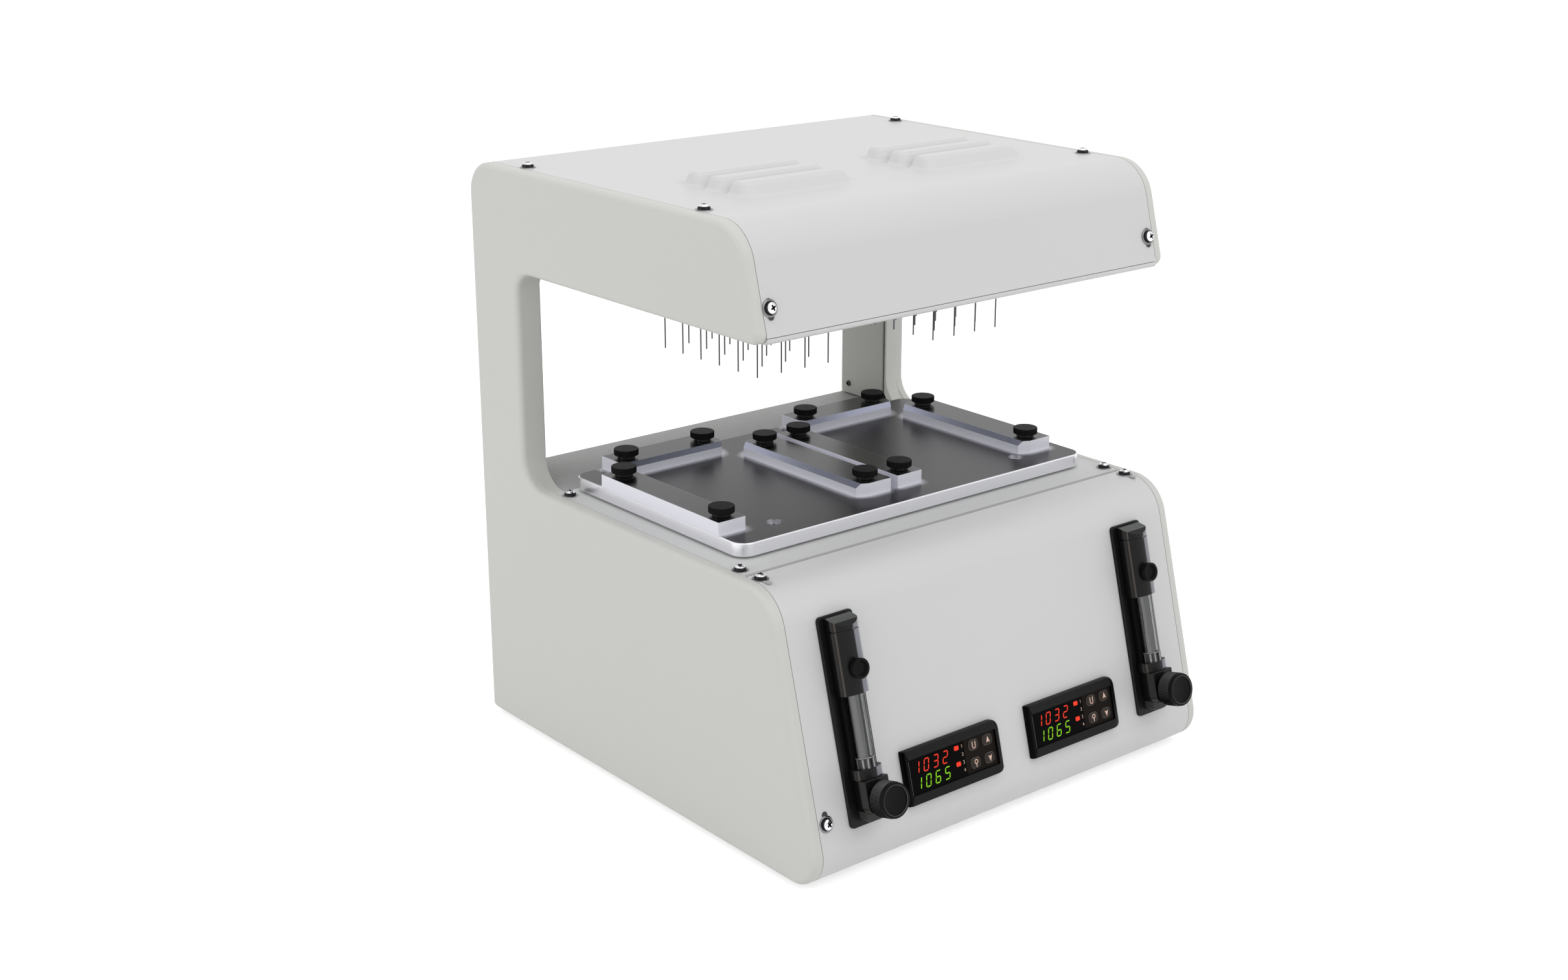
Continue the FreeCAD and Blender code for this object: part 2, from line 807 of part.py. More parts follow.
def make_deck_plate():
    body = new_body("deck_plate")
    plate = sketch_on(body, "XY", dim.deck_top - dim.sheet)
    add_box_outline(plate, -COVER_HALF, COVER_HALF, dim.seam_gap - dim.deck_seam, dim.deck_back)
    pad(body, plate, dim.sheet)
    holes = sketch_on(body, "XY", dim.deck_top)
    for x, y in lift_places():
        add_circle(holes, x, y, dim.rod_radius + dim.rod_gap)
    pocket(body, holes, 2 * (dim.sheet + dim.overrun), both_ways=True)
    return body


def make_rear_cover():
    """The back wall of the base, bent forward at the top to make the rear deck between the columns."""
    body = new_body("rear_cover")
    top = dim.deck_top - dim.rear_deck_drop
    back, wall, low = dim.rear_reach, dim.sheet, dim.foot_height
    front = dim.deck_back + dim.cover_gap
    bend = sketch_on(body, "YZ")
    add_outline(bend, [
        (back, low),
        (back, top, 2 * wall),
        (front, top),
        (front, top - wall),
        (back - wall, top - wall, wall),
        (back - wall, low),
    ])
    pad(body, bend, 2 * (PANEL_INNER - dim.cover_gap), both_ways=True)
    wall_sketch = sketch_on(body, "XZ", -back)
    add_box_outline(wall_sketch, -COVER_HALF, COVER_HALF, low, top - 2 * wall)
    feature(body, "Pad", wall_sketch, {"Length": wall}, Reversed=False)
    cuts = sketch_on(body, "XZ", -back)
    half_width, half_tall = dim.inlet_body_width / 2 + dim.case_gap, dim.inlet_body_tall / 2 + dim.case_gap
    add_box_outline(cuts, dim.inlet_x - half_width, dim.inlet_x + half_width,
                    dim.inlet_height - half_tall, dim.inlet_height + half_tall)
    half_width, half_tall = dim.switch_width / 2 + dim.case_gap, dim.switch_tall / 2 + dim.case_gap
    add_box_outline(cuts, dim.switch_x - half_width, dim.switch_x + half_width,
                    dim.inlet_height - half_tall, dim.inlet_height + half_tall)
    pocket(body, cuts, 2 * (wall + dim.overrun), both_ways=True)
    return body


def make_base_pan():
    """The flat bottom, with a flange turned up against the rear cover."""
    body = new_body("base_pan")
    low, wall = dim.foot_height, dim.sheet
    back = dim.rear_reach - wall
    front = base_face(low) + dim.toe_radius + dim.toe_return + dim.cover_gap
    profile = sketch_on(body, "YZ")
    add_outline(profile, [
        (front, low),
        (back, low, wall),
        (back, low + dim.pan_flange),
        (back - wall, low + dim.pan_flange),
        (back - wall, low + wall),
        (front, low + wall),
    ])
    pad(body, profile, 2 * (PANEL_INNER - dim.cover_gap), both_ways=True)
    plate = sketch_on(body, "XY", low)
    add_box_outline(plate, -COVER_HALF, COVER_HALF, front, back - 2 * wall)
    pad(body, plate, wall)
    return body


def make_feet():
    """Four tapered rubber feet."""
    cones = []
    for number, (side, y) in enumerate([(-1, -dim.foot_front), (1, -dim.foot_front), (-1, dim.foot_back),
                                        (1, dim.foot_back)]):
        cone = doc.addObject("Part::Cone", "foot_%d" % number)
        bind(cone, "Radius1", dim.foot_top_radius)
        bind(cone, "Radius2", dim.foot_radius)
        bind(cone, "Height", dim.foot_height)
        place(cone, side * dim.foot_x, y, ZERO)
        cones.append(cone)
    feet = doc.addObject("Part::Compound", "rubber_feet")
    feet.Links = cones
    return keep(feet, "rubber_feet")


# Gas side: manifolds, needles, tubes and inlets.


def needle_offsets():
    return [((column - (COLUMNS - 1) / 2) * dim.needle_pitch, (line - (ROWS - 1) / 2) * dim.needle_pitch)
            for column in range(COLUMNS) for line in range(ROWS)]


def make_manifold(label, centre):
    """A block that hangs through its window on a flange and takes the needles from below."""
    body = new_body(label)
    low = dim.head_bottom
    half_width, half_depth = dim.manifold_width / 2, dim.manifold_depth / 2
    block = sketch_on(body, "XY", low)
    add_box_outline(block, -half_width, half_width, -half_depth, half_depth, dim.manifold_radius)
    pad(body, block, dim.manifold_height)
    flange = sketch_on(body, "XY", low + dim.sheet)
    reach = dim.manifold_flange
    add_box_outline(flange, -half_width - reach, half_width + reach, -half_depth - reach, half_depth + reach,
                    dim.manifold_radius)
    pad(body, flange, dim.manifold_flange_thick)
    bore = sketch_on(body, "XY", low)
    x, y = needle_offsets()[0]
    add_polygon(bore, x, y, dim.needle_radius + dim.needle_fit, NEEDLE_SIDES)
    first = pocket(body, bore, 2 * dim.needle_seat, both_ways=True)
    grid = body.newObject("PartDesign::MultiTransform", label + "_bores")
    grid.Originals = [first]
    lines = []
    for axis, count in (("H_Axis", COLUMNS), ("V_Axis", ROWS)):
        line = body.newObject("PartDesign::LinearPattern", label + "_" + axis.lower())
        line.Direction = (bore, [axis])
        line.Occurrences = count
        bind(line, "Length", (count - 1) * dim.needle_pitch)
        lines.append(line)
    grid.Transformations = lines
    body.Tip = grid
    place(body, centre, dim.work_middle, ZERO)
    return body


def prism(label, radius, height, sides):
    rod = doc.addObject("Part::Prism", label)
    rod.Polygon = sides
    bind(rod, "Circumradius", radius)
    bind(rod, "Height", height)
    return rod


def make_needles(label, centre):
    """A station of needles, each seated in its bore of the manifold."""
    height = dim.head_bottom + dim.needle_seat - dim.needle_tip
    rods = []
    for number, (x, y) in enumerate(needle_offsets()):
        rod = prism("%s_%d" % (label, number), dim.needle_radius, height, NEEDLE_SIDES)
        place(rod, x, y, dim.needle_tip)
        rods.append(rod)
    bank = doc.addObject("Part::Compound", label)
    bank.Links = rods
    place(bank, centre, dim.work_middle, ZERO)
    return keep(bank, label)


def make_gas_inlets():
    """Two barbed hose fittings, flanged on the outside of the head's rear wall."""
    fittings = []
    for number, side in enumerate((-1, 1)):
        outer, core, bore = dim.gas_flange_radius, dim.gas_neck_radius, dim.gas_barb_bore
        barb, reach, inside = dim.gas_barb_radius, dim.gas_reach, 2 * dim.sheet
        pitch = (reach - dim.gas_flange_thick) / BARBS
        outline = [(bore, -inside), (core, -inside), (core, ZERO), (outer, ZERO), (outer, dim.gas_flange_thick)]
        for ridge in range(BARBS):
            start = dim.gas_flange_thick + ridge * pitch
            outline += [(barb, start), (bore + (barb - bore) / 2, start + pitch)]
        outline += [(bore, reach)]
        points = [FreeCAD.Vector(float(r), 0, float(z)) for r, z in outline]
        turned = Part.Face(Part.makePolygon(points + points[:1])).revolve(FreeCAD.Vector(), UP, 360)
        fittings.append((side, turned))
    solids = []
    for side, turned in fittings:
        turned.Placement = FreeCAD.Placement(
            FreeCAD.Vector(float(side * dim.gas_inlet_x), 0, 0), FreeCAD.Rotation(ALONG, -90))
        solids.append(turned)
    item = doc.addObject("Part::Feature", "gas_inlets")
    item.Shape = Part.makeCompound(solids)
    item.Placement = FreeCAD.Placement(
        FreeCAD.Vector(0, float(dim.rear_reach), float(dim.gas_inlet_height)), FreeCAD.Rotation())
    return keep(item, "gas_inlets")


def make_gas_tubes():
    """A bent tube from each inlet to the top of its manifold."""
    tubes = []
    for side in (-1, 1):
        start_y = dim.rear_reach - 2 * dim.sheet
        x, end_x = side * dim.gas_inlet_x, side * dim.station_x
        high, low = dim.gas_inlet_height, dim.head_bottom + dim.manifold_height
        bend = dim.gas_bend_radius
        end_y = dim.work_middle
        corner = FreeCAD.Vector(float(x), float(end_y), float(high))
        points = [FreeCAD.Vector(float(x), float(start_y), float(high)), corner,
                  FreeCAD.Vector(float(x), float(end_y), float(low))]
        reach = min(float(bend), (float(high) - float(low)) * RUN_SHARE)
        before = corner + FreeCAD.Vector(0, reach, 0)
        after = corner - FreeCAD.Vector(0, 0, reach)
        middle = corner + FreeCAD.Vector(0, reach, -reach) * (1 - math.sqrt(1 / 2))
        path = Part.Wire([Part.makeLine(points[0], before), Part.Arc(before, middle, after).toShape(),
                          Part.makeLine(after, points[2])])
        radius = float(dim.gas_tube_radius)
        turns = [2 * math.pi * step / TUBE_SIDES for step in range(TUBE_SIDES + 1)]
        ring = Part.makePolygon([
            points[0] + FreeCAD.Vector(math.cos(angle) * radius, 0, math.sin(angle) * radius) for angle in turns])
        tubes.append(path.makePipeShell([ring], True, False))
    item = doc.addObject("Part::Feature", "gas_tubes")
    item.Shape = Part.makeCompound(tubes)
    item.Placement = FreeCAD.Placement()
    return keep(item, "gas_tubes")


# Tray, nests and thumb screws.


def tray_low():
    return dim.deck_top + dim.tray_gap


def tray_top():
    return tray_low() + dim.tray_thick


def nest_left():
    return dim.clamp_width + dim.nest_width / 2 - dim.tray_width / 2


def clamp_x(nest):
    return nest - dim.nest_width / 2 - dim.clamp_width / 2


def lip_x(nest):
    return nest + dim.nest_width / 2 + dim.lip_width / 2


def back_y():
    return dim.back_front + dim.back_width / 2


def side_screws(x):
    return [(x, dim.guide_middle + end * dim.screw_pitch / 2) for end in (-1, 1)]


def back_screws(x):
    return [(x + end * dim.back_screw_pitch / 2, back_y()) for end in (-1, 1)]


def guide_table():
    """Each guide: name, its centre, its screw places and its kind."""
    left, right = nest_left(), dim.nest_right_x
    return [
        ("guide_left_outer", clamp_x(left), dim.guide_middle, side_screws(clamp_x(left)), "clamp"),
        ("guide_left_inner", lip_x(left), dim.guide_middle, side_screws(lip_x(left)), "lip"),
        ("guide_left_rear", dim.back_left_x, back_y(), back_screws(dim.back_left_x), "back"),
        ("guide_right_inner", clamp_x(right), dim.guide_middle, side_screws(clamp_x(right)), "clamp"),
        ("guide_right_outer", lip_x(right), dim.guide_middle, side_screws(lip_x(right)), "lip"),
        ("guide_right_rear", dim.back_right_x, back_y(), back_screws(dim.back_right_x), "back"),
    ]


def make_tray():
    """The lifting tray, with sunk holes for its fixing screws and tapped holes for the thumb screws."""
    body = new_body("tray_plate")
    plate = sketch_on(body, "XY", tray_low())
    half_width, half_depth = dim.tray_width / 2, dim.tray_depth / 2
    add_box_outline(plate, -half_width, half_width, dim.work_middle - half_depth, dim.work_middle + half_depth,
                    dim.tray_radius)
    pad(body, plate, dim.tray_thick)
    chamfer(body, dim.tray_edge, edge_at(z=tray_top()))
    sinks = sketch_on(body, "XY", tray_top())
    for x, y in lift_places():
        add_circle(sinks, x, y, dim.tray_sink_radius)
    pocket(body, sinks, 2 * dim.tray_sink_depth, both_ways=True)
    holes = sketch_on(body, "XY", tray_top())
    for x, y in lift_places():
        add_circle(holes, x, y, dim.tray_screw_radius)
    for name, x, y, screws, kind in guide_table():
        for screw_x, screw_y in screws:
            add_circle(holes, screw_x, screw_y, dim.thumb_shank_radius + dim.thread_fit)
    pocket(body, holes, 2 * (dim.tray_thick + dim.overrun), both_ways=True)
    return body


def make_guide(label, x, y, screws, kind):
    """A slotted guide. Lip and back guides have a lead-in bevel and cut corners towards the plate."""
    body = new_body(label)
    low = tray_top()
    across = {"clamp": dim.clamp_width, "lip": dim.lip_width, "back": dim.back_length}[kind]
    along = dim.back_width if kind == "back" else dim.guide_length
    left, right = x - across / 2, x + across / 2
    front, back = y - along / 2, y + along / 2
    bar = sketch_on(body, "XY", low)
    if kind == "clamp":
        add_box_outline(bar, left, right, front, back)
    elif kind == "lip":
        add_outline(bar, [
            (left + dim.corner_across, front),
            (right, front),
            (right, back),
            (left + dim.corner_across, back),
            (left, back - dim.corner_along),
            (left, front + dim.corner_along),
        ])
    else:
        add_outline(bar, [
            (left + dim.corner_along, front),
            (right - dim.corner_along, front),
            (right, front + dim.corner_across),
            (right, back),
            (left, back),
            (left, front + dim.corner_across),
        ])
    pad(body, bar, dim.guide_height)
    if kind == "lip":
        chamfer(body, dim.lead_in, edge_at(z=low + dim.guide_height, x=left))
    if kind == "back":
        chamfer(body, dim.lead_in, edge_at(z=low + dim.guide_height, y=front))
    slots = sketch_on(body, "XY", low)
    for screw_x, screw_y in screws:
        add_slot(slots, screw_x, screw_y, 2 * (dim.guide_travel + dim.slot_gap),
                 dim.thumb_shank_radius + dim.slot_gap, kind != "back")
    pocket(body, slots, 2 * (dim.guide_height + dim.overrun), both_ways=True)
    return body


def make_thumb_screw(label, x, y):
    """Head, neck and shank of one thumb screw, each a many-sided prism."""
    reach = dim.guide_height + dim.thumb_reach
    neck_top = dim.thumb_neck_height
    seat = tray_top() + dim.guide_height
    rods = []
    for word, radius, low, high, sides in (
            ("shank", dim.thumb_shank_radius, -reach, ZERO, SHANK_SIDES),
            ("neck", dim.thumb_neck_radius, ZERO, neck_top, SCREW_SIDES),
            ("head", dim.thumb_head_radius, neck_top, neck_top + dim.thumb_head_height, SCREW_SIDES)):
        rod = prism(label + "_" + word, radius, high - low, sides)
        place(rod, x, y, seat + low)
        rods.append(rod)
    screw = doc.addObject("Part::MultiFuse", label)
    screw.Shapes = rods
    return keep(screw, label)


# Lift.


def make_lift_frame():
    """Four rods that carry the tray, a crosshead under them and the spindle that drives it."""
    body = new_body("lift_frame")
    low = tray_low() - dim.rod_length
    half_width, half_depth = dim.tray_screw_x, dim.tray_screw_pitch / 2
    margin, middle = dim.crosshead_margin, dim.work_middle
    plate = sketch_on(body, "XY", low - dim.crosshead_thick)
    add_box_outline(plate, -half_width - margin, half_width + margin,
                    middle - half_depth - margin, middle + half_depth + margin, margin)
    pad(body, plate, dim.crosshead_thick)
    rods = sketch_on(body, "XY", low)
    for x, y in lift_places():
        add_circle(rods, x, y, dim.rod_radius)
    pad(body, rods, dim.rod_length)
    spindle = sketch_on(body, "XY", low - dim.crosshead_thick - dim.spindle_length)
    add_circle(spindle, ZERO, middle, dim.spindle_radius)
    pad(body, spindle, dim.spindle_length)
    return body


def make_bushings():
    """A square-flanged bush for each rod, hung under the deck."""
    body = new_body("lift_bushings")
    top = dim.deck_top - dim.sheet
    flanges = sketch_on(body, "XY", top - dim.bushing_flange_thick)
    barrels = sketch_on(body, "XY", top - dim.bushing_height)
    bores = sketch_on(body, "XY", top)
    for x, y in lift_places():
        reach = dim.bushing_flange_reach
        add_box_outline(flanges, x - reach, x + reach, y - reach, y + reach)
        add_circle(barrels, x, y, dim.bushing_radius)
        add_circle(bores, x, y, dim.rod_radius + dim.rod_fit)
    pad(body, flanges, dim.bushing_flange_thick)
    pad(body, barrels, dim.bushing_height)
    pocket(body, bores, 2 * (dim.bushing_height + dim.overrun), both_ways=True)
    return body


def make_actuator():
    """The drive that pushes the spindle up, on a square mounting plate."""
    body = new_body("lift_actuator")
    low = dim.foot_height + dim.sheet
    high = tray_low() - dim.rod_length - dim.crosshead_thick - dim.actuator_gap
    half, middle = dim.actuator_plate / 2, dim.work_middle
    plate = sketch_on(body, "XY", low)
    add_box_outline(plate, -half, half, middle - half, middle + half, dim.actuator_plate_thick)
    pad(body, plate, dim.actuator_plate_thick)
    barrel = sketch_on(body, "XY", low)
    add_circle(barrel, ZERO, middle, dim.actuator_radius)
    pad(body, barrel, high - low)
    bore = sketch_on(body, "XY", high)
    add_circle(bore, ZERO, middle, dim.spindle_radius + dim.rod_fit)
    pocket(body, bore, 2 * dim.spindle_length, both_ways=True)
    return body


# Pieces on the sloping front. Their own frame has X across, Y up the slope and Z outward.


def place_on_face(thing, x, drop):
    tilt = dim.front_tilt
    place(thing, x, -dim.deck_front - drop * sin_of(tilt), dim.deck_top - drop * cos_of(tilt), 90 - tilt)


def flow_x():
    return HALF - dim.flow_inset


def d_section(sketch, half_width, back, front, radius):
    """A flat-backed section seen along the slope, in (X, outward)."""
    add_outline(sketch, [(-half_width, back), (half_width, back), (half_width, front, radius),
                         (-half_width, front, radius)])


def slope_pad(body, top, length, half_width, front, radius):
    """A D-shaped length of the meter that starts at a distance below its top."""
    sketch = sketch_on(body, "XZ", top)
    d_section(sketch, half_width, dim.flow_plate_thick, front, radius)
    return pad(body, sketch, length)


def make_flowmeter(label, side):
    """Back plate, cap, shroud, collar and valve body of one flowmeter."""
    body = new_body(label)
    thick, half = dim.flow_plate_thick, dim.flow_width / 2
    plate = sketch_on(body, "XY")
    add_box_outline(plate, -dim.flow_plate_width / 2, dim.flow_plate_width / 2, -dim.flow_plate_length, ZERO,
                    dim.flow_plate_radius)
    pad(body, plate, thick)
    valve_end = dim.shroud_length + dim.tube_length + dim.collar_length + dim.valve_length
    spine = sketch_on(body, "XZ", dim.flow_cap_length)
    add_box_outline(spine, -half + dim.flow_groove_depth, half - dim.flow_groove_depth, ZERO, dim.flow_block_depth)
    pad(body, spine, valve_end - dim.flow_cap_length)
    start = dim.flow_groove
    slope_pad(body, start, dim.flow_cap_length, dim.flow_cap_width / 2, dim.flow_front, dim.flow_front_radius)
    neck = half - dim.flow_groove_depth
    slope_pad(body, start, 2 * dim.flow_cap_length, neck, dim.flow_front - dim.flow_groove_depth,
              dim.flow_front_radius)
    shroud_top = start + dim.flow_cap_length + dim.flow_groove
    slope_pad(body, shroud_top, dim.shroud_length - shroud_top, half, dim.flow_front, dim.flow_front_radius)
    slope_pad(body, dim.shroud_length + dim.tube_length, dim.collar_length, half, dim.flow_front,
              dim.flow_front_radius)
    valve_top = dim.shroud_length + dim.tube_length + dim.collar_length
    half_valve = dim.valve_width / 2
    valve = sketch_on(body, "XY", thick)
    add_outline(valve, [
        (-half_valve, -valve_top - dim.valve_length, dim.valve_round),
        (half_valve, -valve_top - dim.valve_length, dim.valve_round),
        (half_valve, -valve_top),
        (-half_valve, -valve_top),
    ])
    pad(body, valve, dim.valve_front - thick)
    foot = sketch_on(body, "XZ", valve_end)
    add_box_outline(foot, -dim.flow_foot_width / 2, dim.flow_foot_width / 2, thick, dim.flow_foot_depth)
    pad(body, foot, dim.flow_foot_length)
    chamfer_cap(body)
    socket = sketch_on(body, "XZ", dim.shroud_length + dim.tube_length / 2)
    add_circle(socket, ZERO, dim.tube_axis, dim.tube_radius + dim.tube_gap)
    pocket(body, socket, dim.tube_length + 2 * dim.tube_seat, both_ways=True)
    bore = sketch_on(body, "XY", dim.valve_front)
    add_circle(bore, ZERO, -dim.valve_drop, dim.valve_stem_radius + dim.valve_fit)
    pocket(body, bore, 2 * dim.valve_stem_length, both_ways=True)
    place_on_face(body, side * flow_x(), dim.flow_drop)
    return body


def chamfer_cap(body):
    """The cap's top edge at the front, cut back to a slope."""
    chamfer(body, dim.flow_cap_slope, edge_at(y=-dim.flow_groove, z=dim.flow_front))


def make_flow_tube(label, side):
    """The clear sight tube, seated in the shroud above and the collar below."""
    body = new_body(label)
    length = dim.tube_length + 2 * dim.tube_seat
    ring = sketch_on(body, "XZ", dim.shroud_length - dim.tube_seat)
    add_circle(ring, ZERO, dim.tube_axis, dim.tube_radius)
    add_circle(ring, ZERO, dim.tube_axis, dim.tube_bore)
    pad(body, ring, length)
    place_on_face(body, side * flow_x(), dim.flow_drop)
    return body


def make_float(label, side):
    """The float that rides in the tube, coned at its lower end."""
    body = new_body(label)
    bottom = -dim.shroud_length - dim.tube_length - dim.tube_seat
    radius, length, cone = dim.float_radius, dim.float_length, dim.float_cone
    profile = sketch_on(body, "XY", dim.tube_axis)
    add_outline(profile, [
        (ZERO, bottom),
        (radius - cone, bottom),
        (radius, bottom + cone),
        (radius, bottom + length),
        (ZERO, bottom + length),
    ])
    turn(body, profile)
    place_on_face(body, side * flow_x(), dim.flow_drop)
    return body


def make_valve_knob(label, side):
    """Fluted grip, plain cap with a dished front, and the stem that turns in the valve."""
    body = new_body(label)
    stem, grip, radius = dim.valve_stem_length, dim.valve_knob_grip, dim.valve_knob_radius
    start = dim.valve_knob_gap
    cap, front = dim.valve_knob_cap_radius, start + dim.valve_knob_length
    edge = radius - cap
    profile = sketch_on(body, "XZ")
    add_outline(profile, [
        (ZERO, -stem + start),
        (dim.valve_stem_radius, -stem + start),
        (dim.valve_stem_radius, start),
        (radius, start),
        (radius, start + grip),
        (cap, start + grip + edge),
        (cap, front),
        (cap - dim.valve_knob_rim, front),
        (cap - dim.valve_knob_rim, front - dim.valve_knob_recess),
        (ZERO, front - dim.valve_knob_recess),
    ])
    turn(body, profile)
    flute = sketch_on(body, "XY", start)
    deep, wide = dim.flute_depth, dim.flute_width / 2
    add_outline(flute, [(ZERO, radius - deep), (wide, radius + deep), (-wide, radius + deep)])
    first = pocket(body, flute, 2 * grip, both_ways=True)
    ring = body.newObject("PartDesign::PolarPattern", label + "_flutes")
    ring.Originals = [first]
    ring.Axis = (flute, ["N_Axis"])
    ring.Angle = 360
    ring.Occurrences = FLUTES
    body.Tip = ring
    sink = dim.flow_drop + dim.valve_drop
    tilt = dim.front_tilt
    y = -dim.deck_front - sink * sin_of(tilt) - dim.valve_front * cos_of(tilt)
    z = dim.deck_top - sink * cos_of(tilt) + dim.valve_front * sin_of(tilt)
    place(body, side * flow_x(), y, z, 90 - tilt)
    return body


def make_shroud_knobs():
    """The small dished adjusters on the two shrouds."""
    shapes = []
    radius, waist, length = dim.shroud_knob_radius, dim.shroud_knob_waist, dim.shroud_knob_length
    dish, deep = dim.shroud_knob_dish, dim.shroud_knob_dish_depth
    outline = [(ZERO, ZERO), (waist, ZERO), (radius, length / 2), (radius, length), (dish, length),
               (dish - deep / 2, length - deep), (ZERO, length - deep)]
    points = [FreeCAD.Vector(float(r), 0, float(z)) for r, z in outline]
    turned = Part.Face(Part.makePolygon(points + points[:1])).revolve(FreeCAD.Vector(), UP, 360)
    sink = dim.flow_drop + dim.shroud_knob_drop
    tilt = dim.front_tilt
    y = -dim.deck_front - sink * sin_of(tilt) - dim.flow_front * cos_of(tilt)
    z = dim.deck_top - sink * cos_of(tilt) + dim.flow_front * sin_of(tilt)
    for side in (-1, 1):
        copy = turned.copy()
        copy.Placement = FreeCAD.Placement(
            FreeCAD.Vector(float(side * flow_x()), 0, 0), FreeCAD.Rotation(ALONG, float(90 - tilt)))
        shapes.append(copy)
    item = doc.addObject("Part::Feature", "shroud_knobs")
    item.Shape = Part.makeCompound(shapes)
    item.Placement = FreeCAD.Placement(FreeCAD.Vector(0, float(y), float(z)), FreeCAD.Rotation())
    return keep(item, "shroud_knobs")


def key_places():
    """Key centres about the middle of the bezel, left to right and top to bottom."""
    return [(dim.key_x + across * dim.key_pitch_x / 2, dim.key_rise + up * dim.key_pitch_y / 2)
            for up in (1, -1) for across in (-1, 1)]


def make_controller(label, side):
    """A panel controller: bevelled bezel, sloped window and the case behind the front cover."""
    body = new_body(label)
    half_width, half_height = dim.control_width / 2, dim.control_height / 2
    bezel = sketch_on(body, "XY")
    add_box_outline(bezel, -half_width, half_width, -half_height, half_height, dim.control_radius)
    pad(body, bezel, dim.control_depth)
    chamfer(body, dim.control_bevel, edge_at(z=dim.control_depth))
    case = sketch_on(body, "XY", -dim.case_depth)
    add_box_outline(case, -dim.case_width / 2, dim.case_width / 2, -dim.case_height / 2, dim.case_height / 2)
    pad(body, case, dim.case_depth)
    window = sketch_on(body, "XY", dim.control_depth)
    left, right = dim.window_shift_x - dim.window_width / 2, dim.window_shift_x + dim.window_width / 2
    low, high = -dim.window_drop - dim.window_height / 2, dim.window_height / 2 - dim.window_drop
    add_box_outline(window, left, right, low, high)
    made = pocket(body, window, dim.window_depth)
    bind(made, "TaperAngle", -dim.window_slope)
    floor = dim.control_depth - dim.window_depth
    seats = sketch_on(body, "XY", floor)
    for x, y in key_places():
        add_key(seats, x, y, dim.key_fit)
    pocket(body, seats, 2 * (dim.key_seat + dim.key_travel), both_ways=True)
    place_on_face(body, control_centre(side), dim.control_drop + half_height)
    return body


def add_key(sketch, x, y, gap):
    half_width, half_height = dim.key_width / 2 + gap, dim.key_height / 2 + gap
    add_box_outline(sketch, x - half_width, x + half_width, y - half_height, y + half_height, dim.key_radius + gap)


def make_key(label, side, x, y):
    body = new_body(label)
    floor = dim.control_depth - dim.window_depth
    outline = sketch_on(body, "XY", floor - dim.key_seat)
    add_key(outline, x, y, ZERO)
    pad(body, outline, dim.key_seat + dim.key_stand)
    place_on_face(body, control_centre(side), dim.control_drop + dim.control_height / 2)
    return body


# Rear services. Their own frame has X across, Y up and Z out of the back wall.


def place_at_back(thing, x, z):
    thing.Placement = FreeCAD.Placement(FreeCAD.Vector(), FreeCAD.Rotation(FreeCAD.Vector(0, 1, 1), 180))
    bind(thing, "Placement.Base.x", x)
    bind(thing, "Placement.Base.y", dim.rear_reach)
    bind(thing, "Placement.Base.z", z)


def make_power_inlet():
    """A mains inlet: flange, shrouded socket with two cut corners and three blades."""
    body = new_body("power_inlet")
    half_width, half_tall = dim.inlet_body_width / 2, dim.inlet_body_tall / 2
    flange = sketch_on(body, "XY")
    add_box_outline(flange, -dim.inlet_width / 2, dim.inlet_width / 2, -dim.inlet_tall / 2, dim.inlet_tall / 2,
                    dim.inlet_radius)
    pad(body, flange, dim.inlet_flange)
    case = sketch_on(body, "XY", -dim.inlet_body_depth)
    add_box_outline(case, -half_width, half_width, -half_tall, half_tall)
    pad(body, case, dim.inlet_body_depth)
    wall, cut = dim.inlet_socket_wall, dim.inlet_chamfer
    socket = sketch_on(body, "XY", dim.inlet_flange)
    add_outline(socket, [
        (wall - half_width, wall - half_tall),
        (half_width - wall, wall - half_tall),
        (half_width - wall, half_tall - wall - cut),
        (half_width - wall - cut, half_tall - wall),
        (wall + cut - half_width, half_tall - wall),
        (wall - half_width, half_tall - wall - cut),
    ])
    pocket(body, socket, dim.inlet_socket_depth)
    floor = dim.inlet_flange - dim.inlet_socket_depth
    blades = sketch_on(body, "XY", floor)
    for step in (-1, 0, 1):
        x = step * dim.pin_pitch if step else ZERO
        y = -dim.pin_rise if step else dim.pin_rise
        add_box_outline(blades, x - dim.pin_width / 2, x + dim.pin_width / 2, y - dim.pin_tall / 2,
                        y + dim.pin_tall / 2)
    pad(body, blades, dim.pin_length)
    place_at_back(body, dim.inlet_x, dim.inlet_height)
    return body


def make_switch_frame():
    """The switch's frame and case, open at the front for the rocker."""
    body = new_body("switch_frame")
    half_width, half_tall, frame = dim.switch_width / 2, dim.switch_tall / 2, dim.switch_frame
    flange = sketch_on(body, "XY")
    add_box_outline(flange, -half_width - frame, half_width + frame, -half_tall - frame, half_tall + frame, frame)
    pad(body, flange, dim.switch_frame_thick)
    case = sketch_on(body, "XY", -dim.switch_body_depth)
    add_box_outline(case, -half_width, half_width, -half_tall, half_tall)
    pad(body, case, dim.switch_body_depth)
    mouth = sketch_on(body, "XY", dim.switch_frame_thick)
    wall = dim.sheet
    add_box_outline(mouth, wall - half_width, half_width - wall, wall - half_tall, half_tall - wall)
    pocket(body, mouth, dim.switch_frame_thick + dim.rocker_well)
    pins = sketch_on(body, "YZ")
    add_circle(pins, ZERO, ZERO, dim.rocker_pin_radius)
    pad(body, pins, dim.switch_width - wall, both_ways=True)
    place_at_back(body, dim.switch_x, dim.inlet_height)
    return body


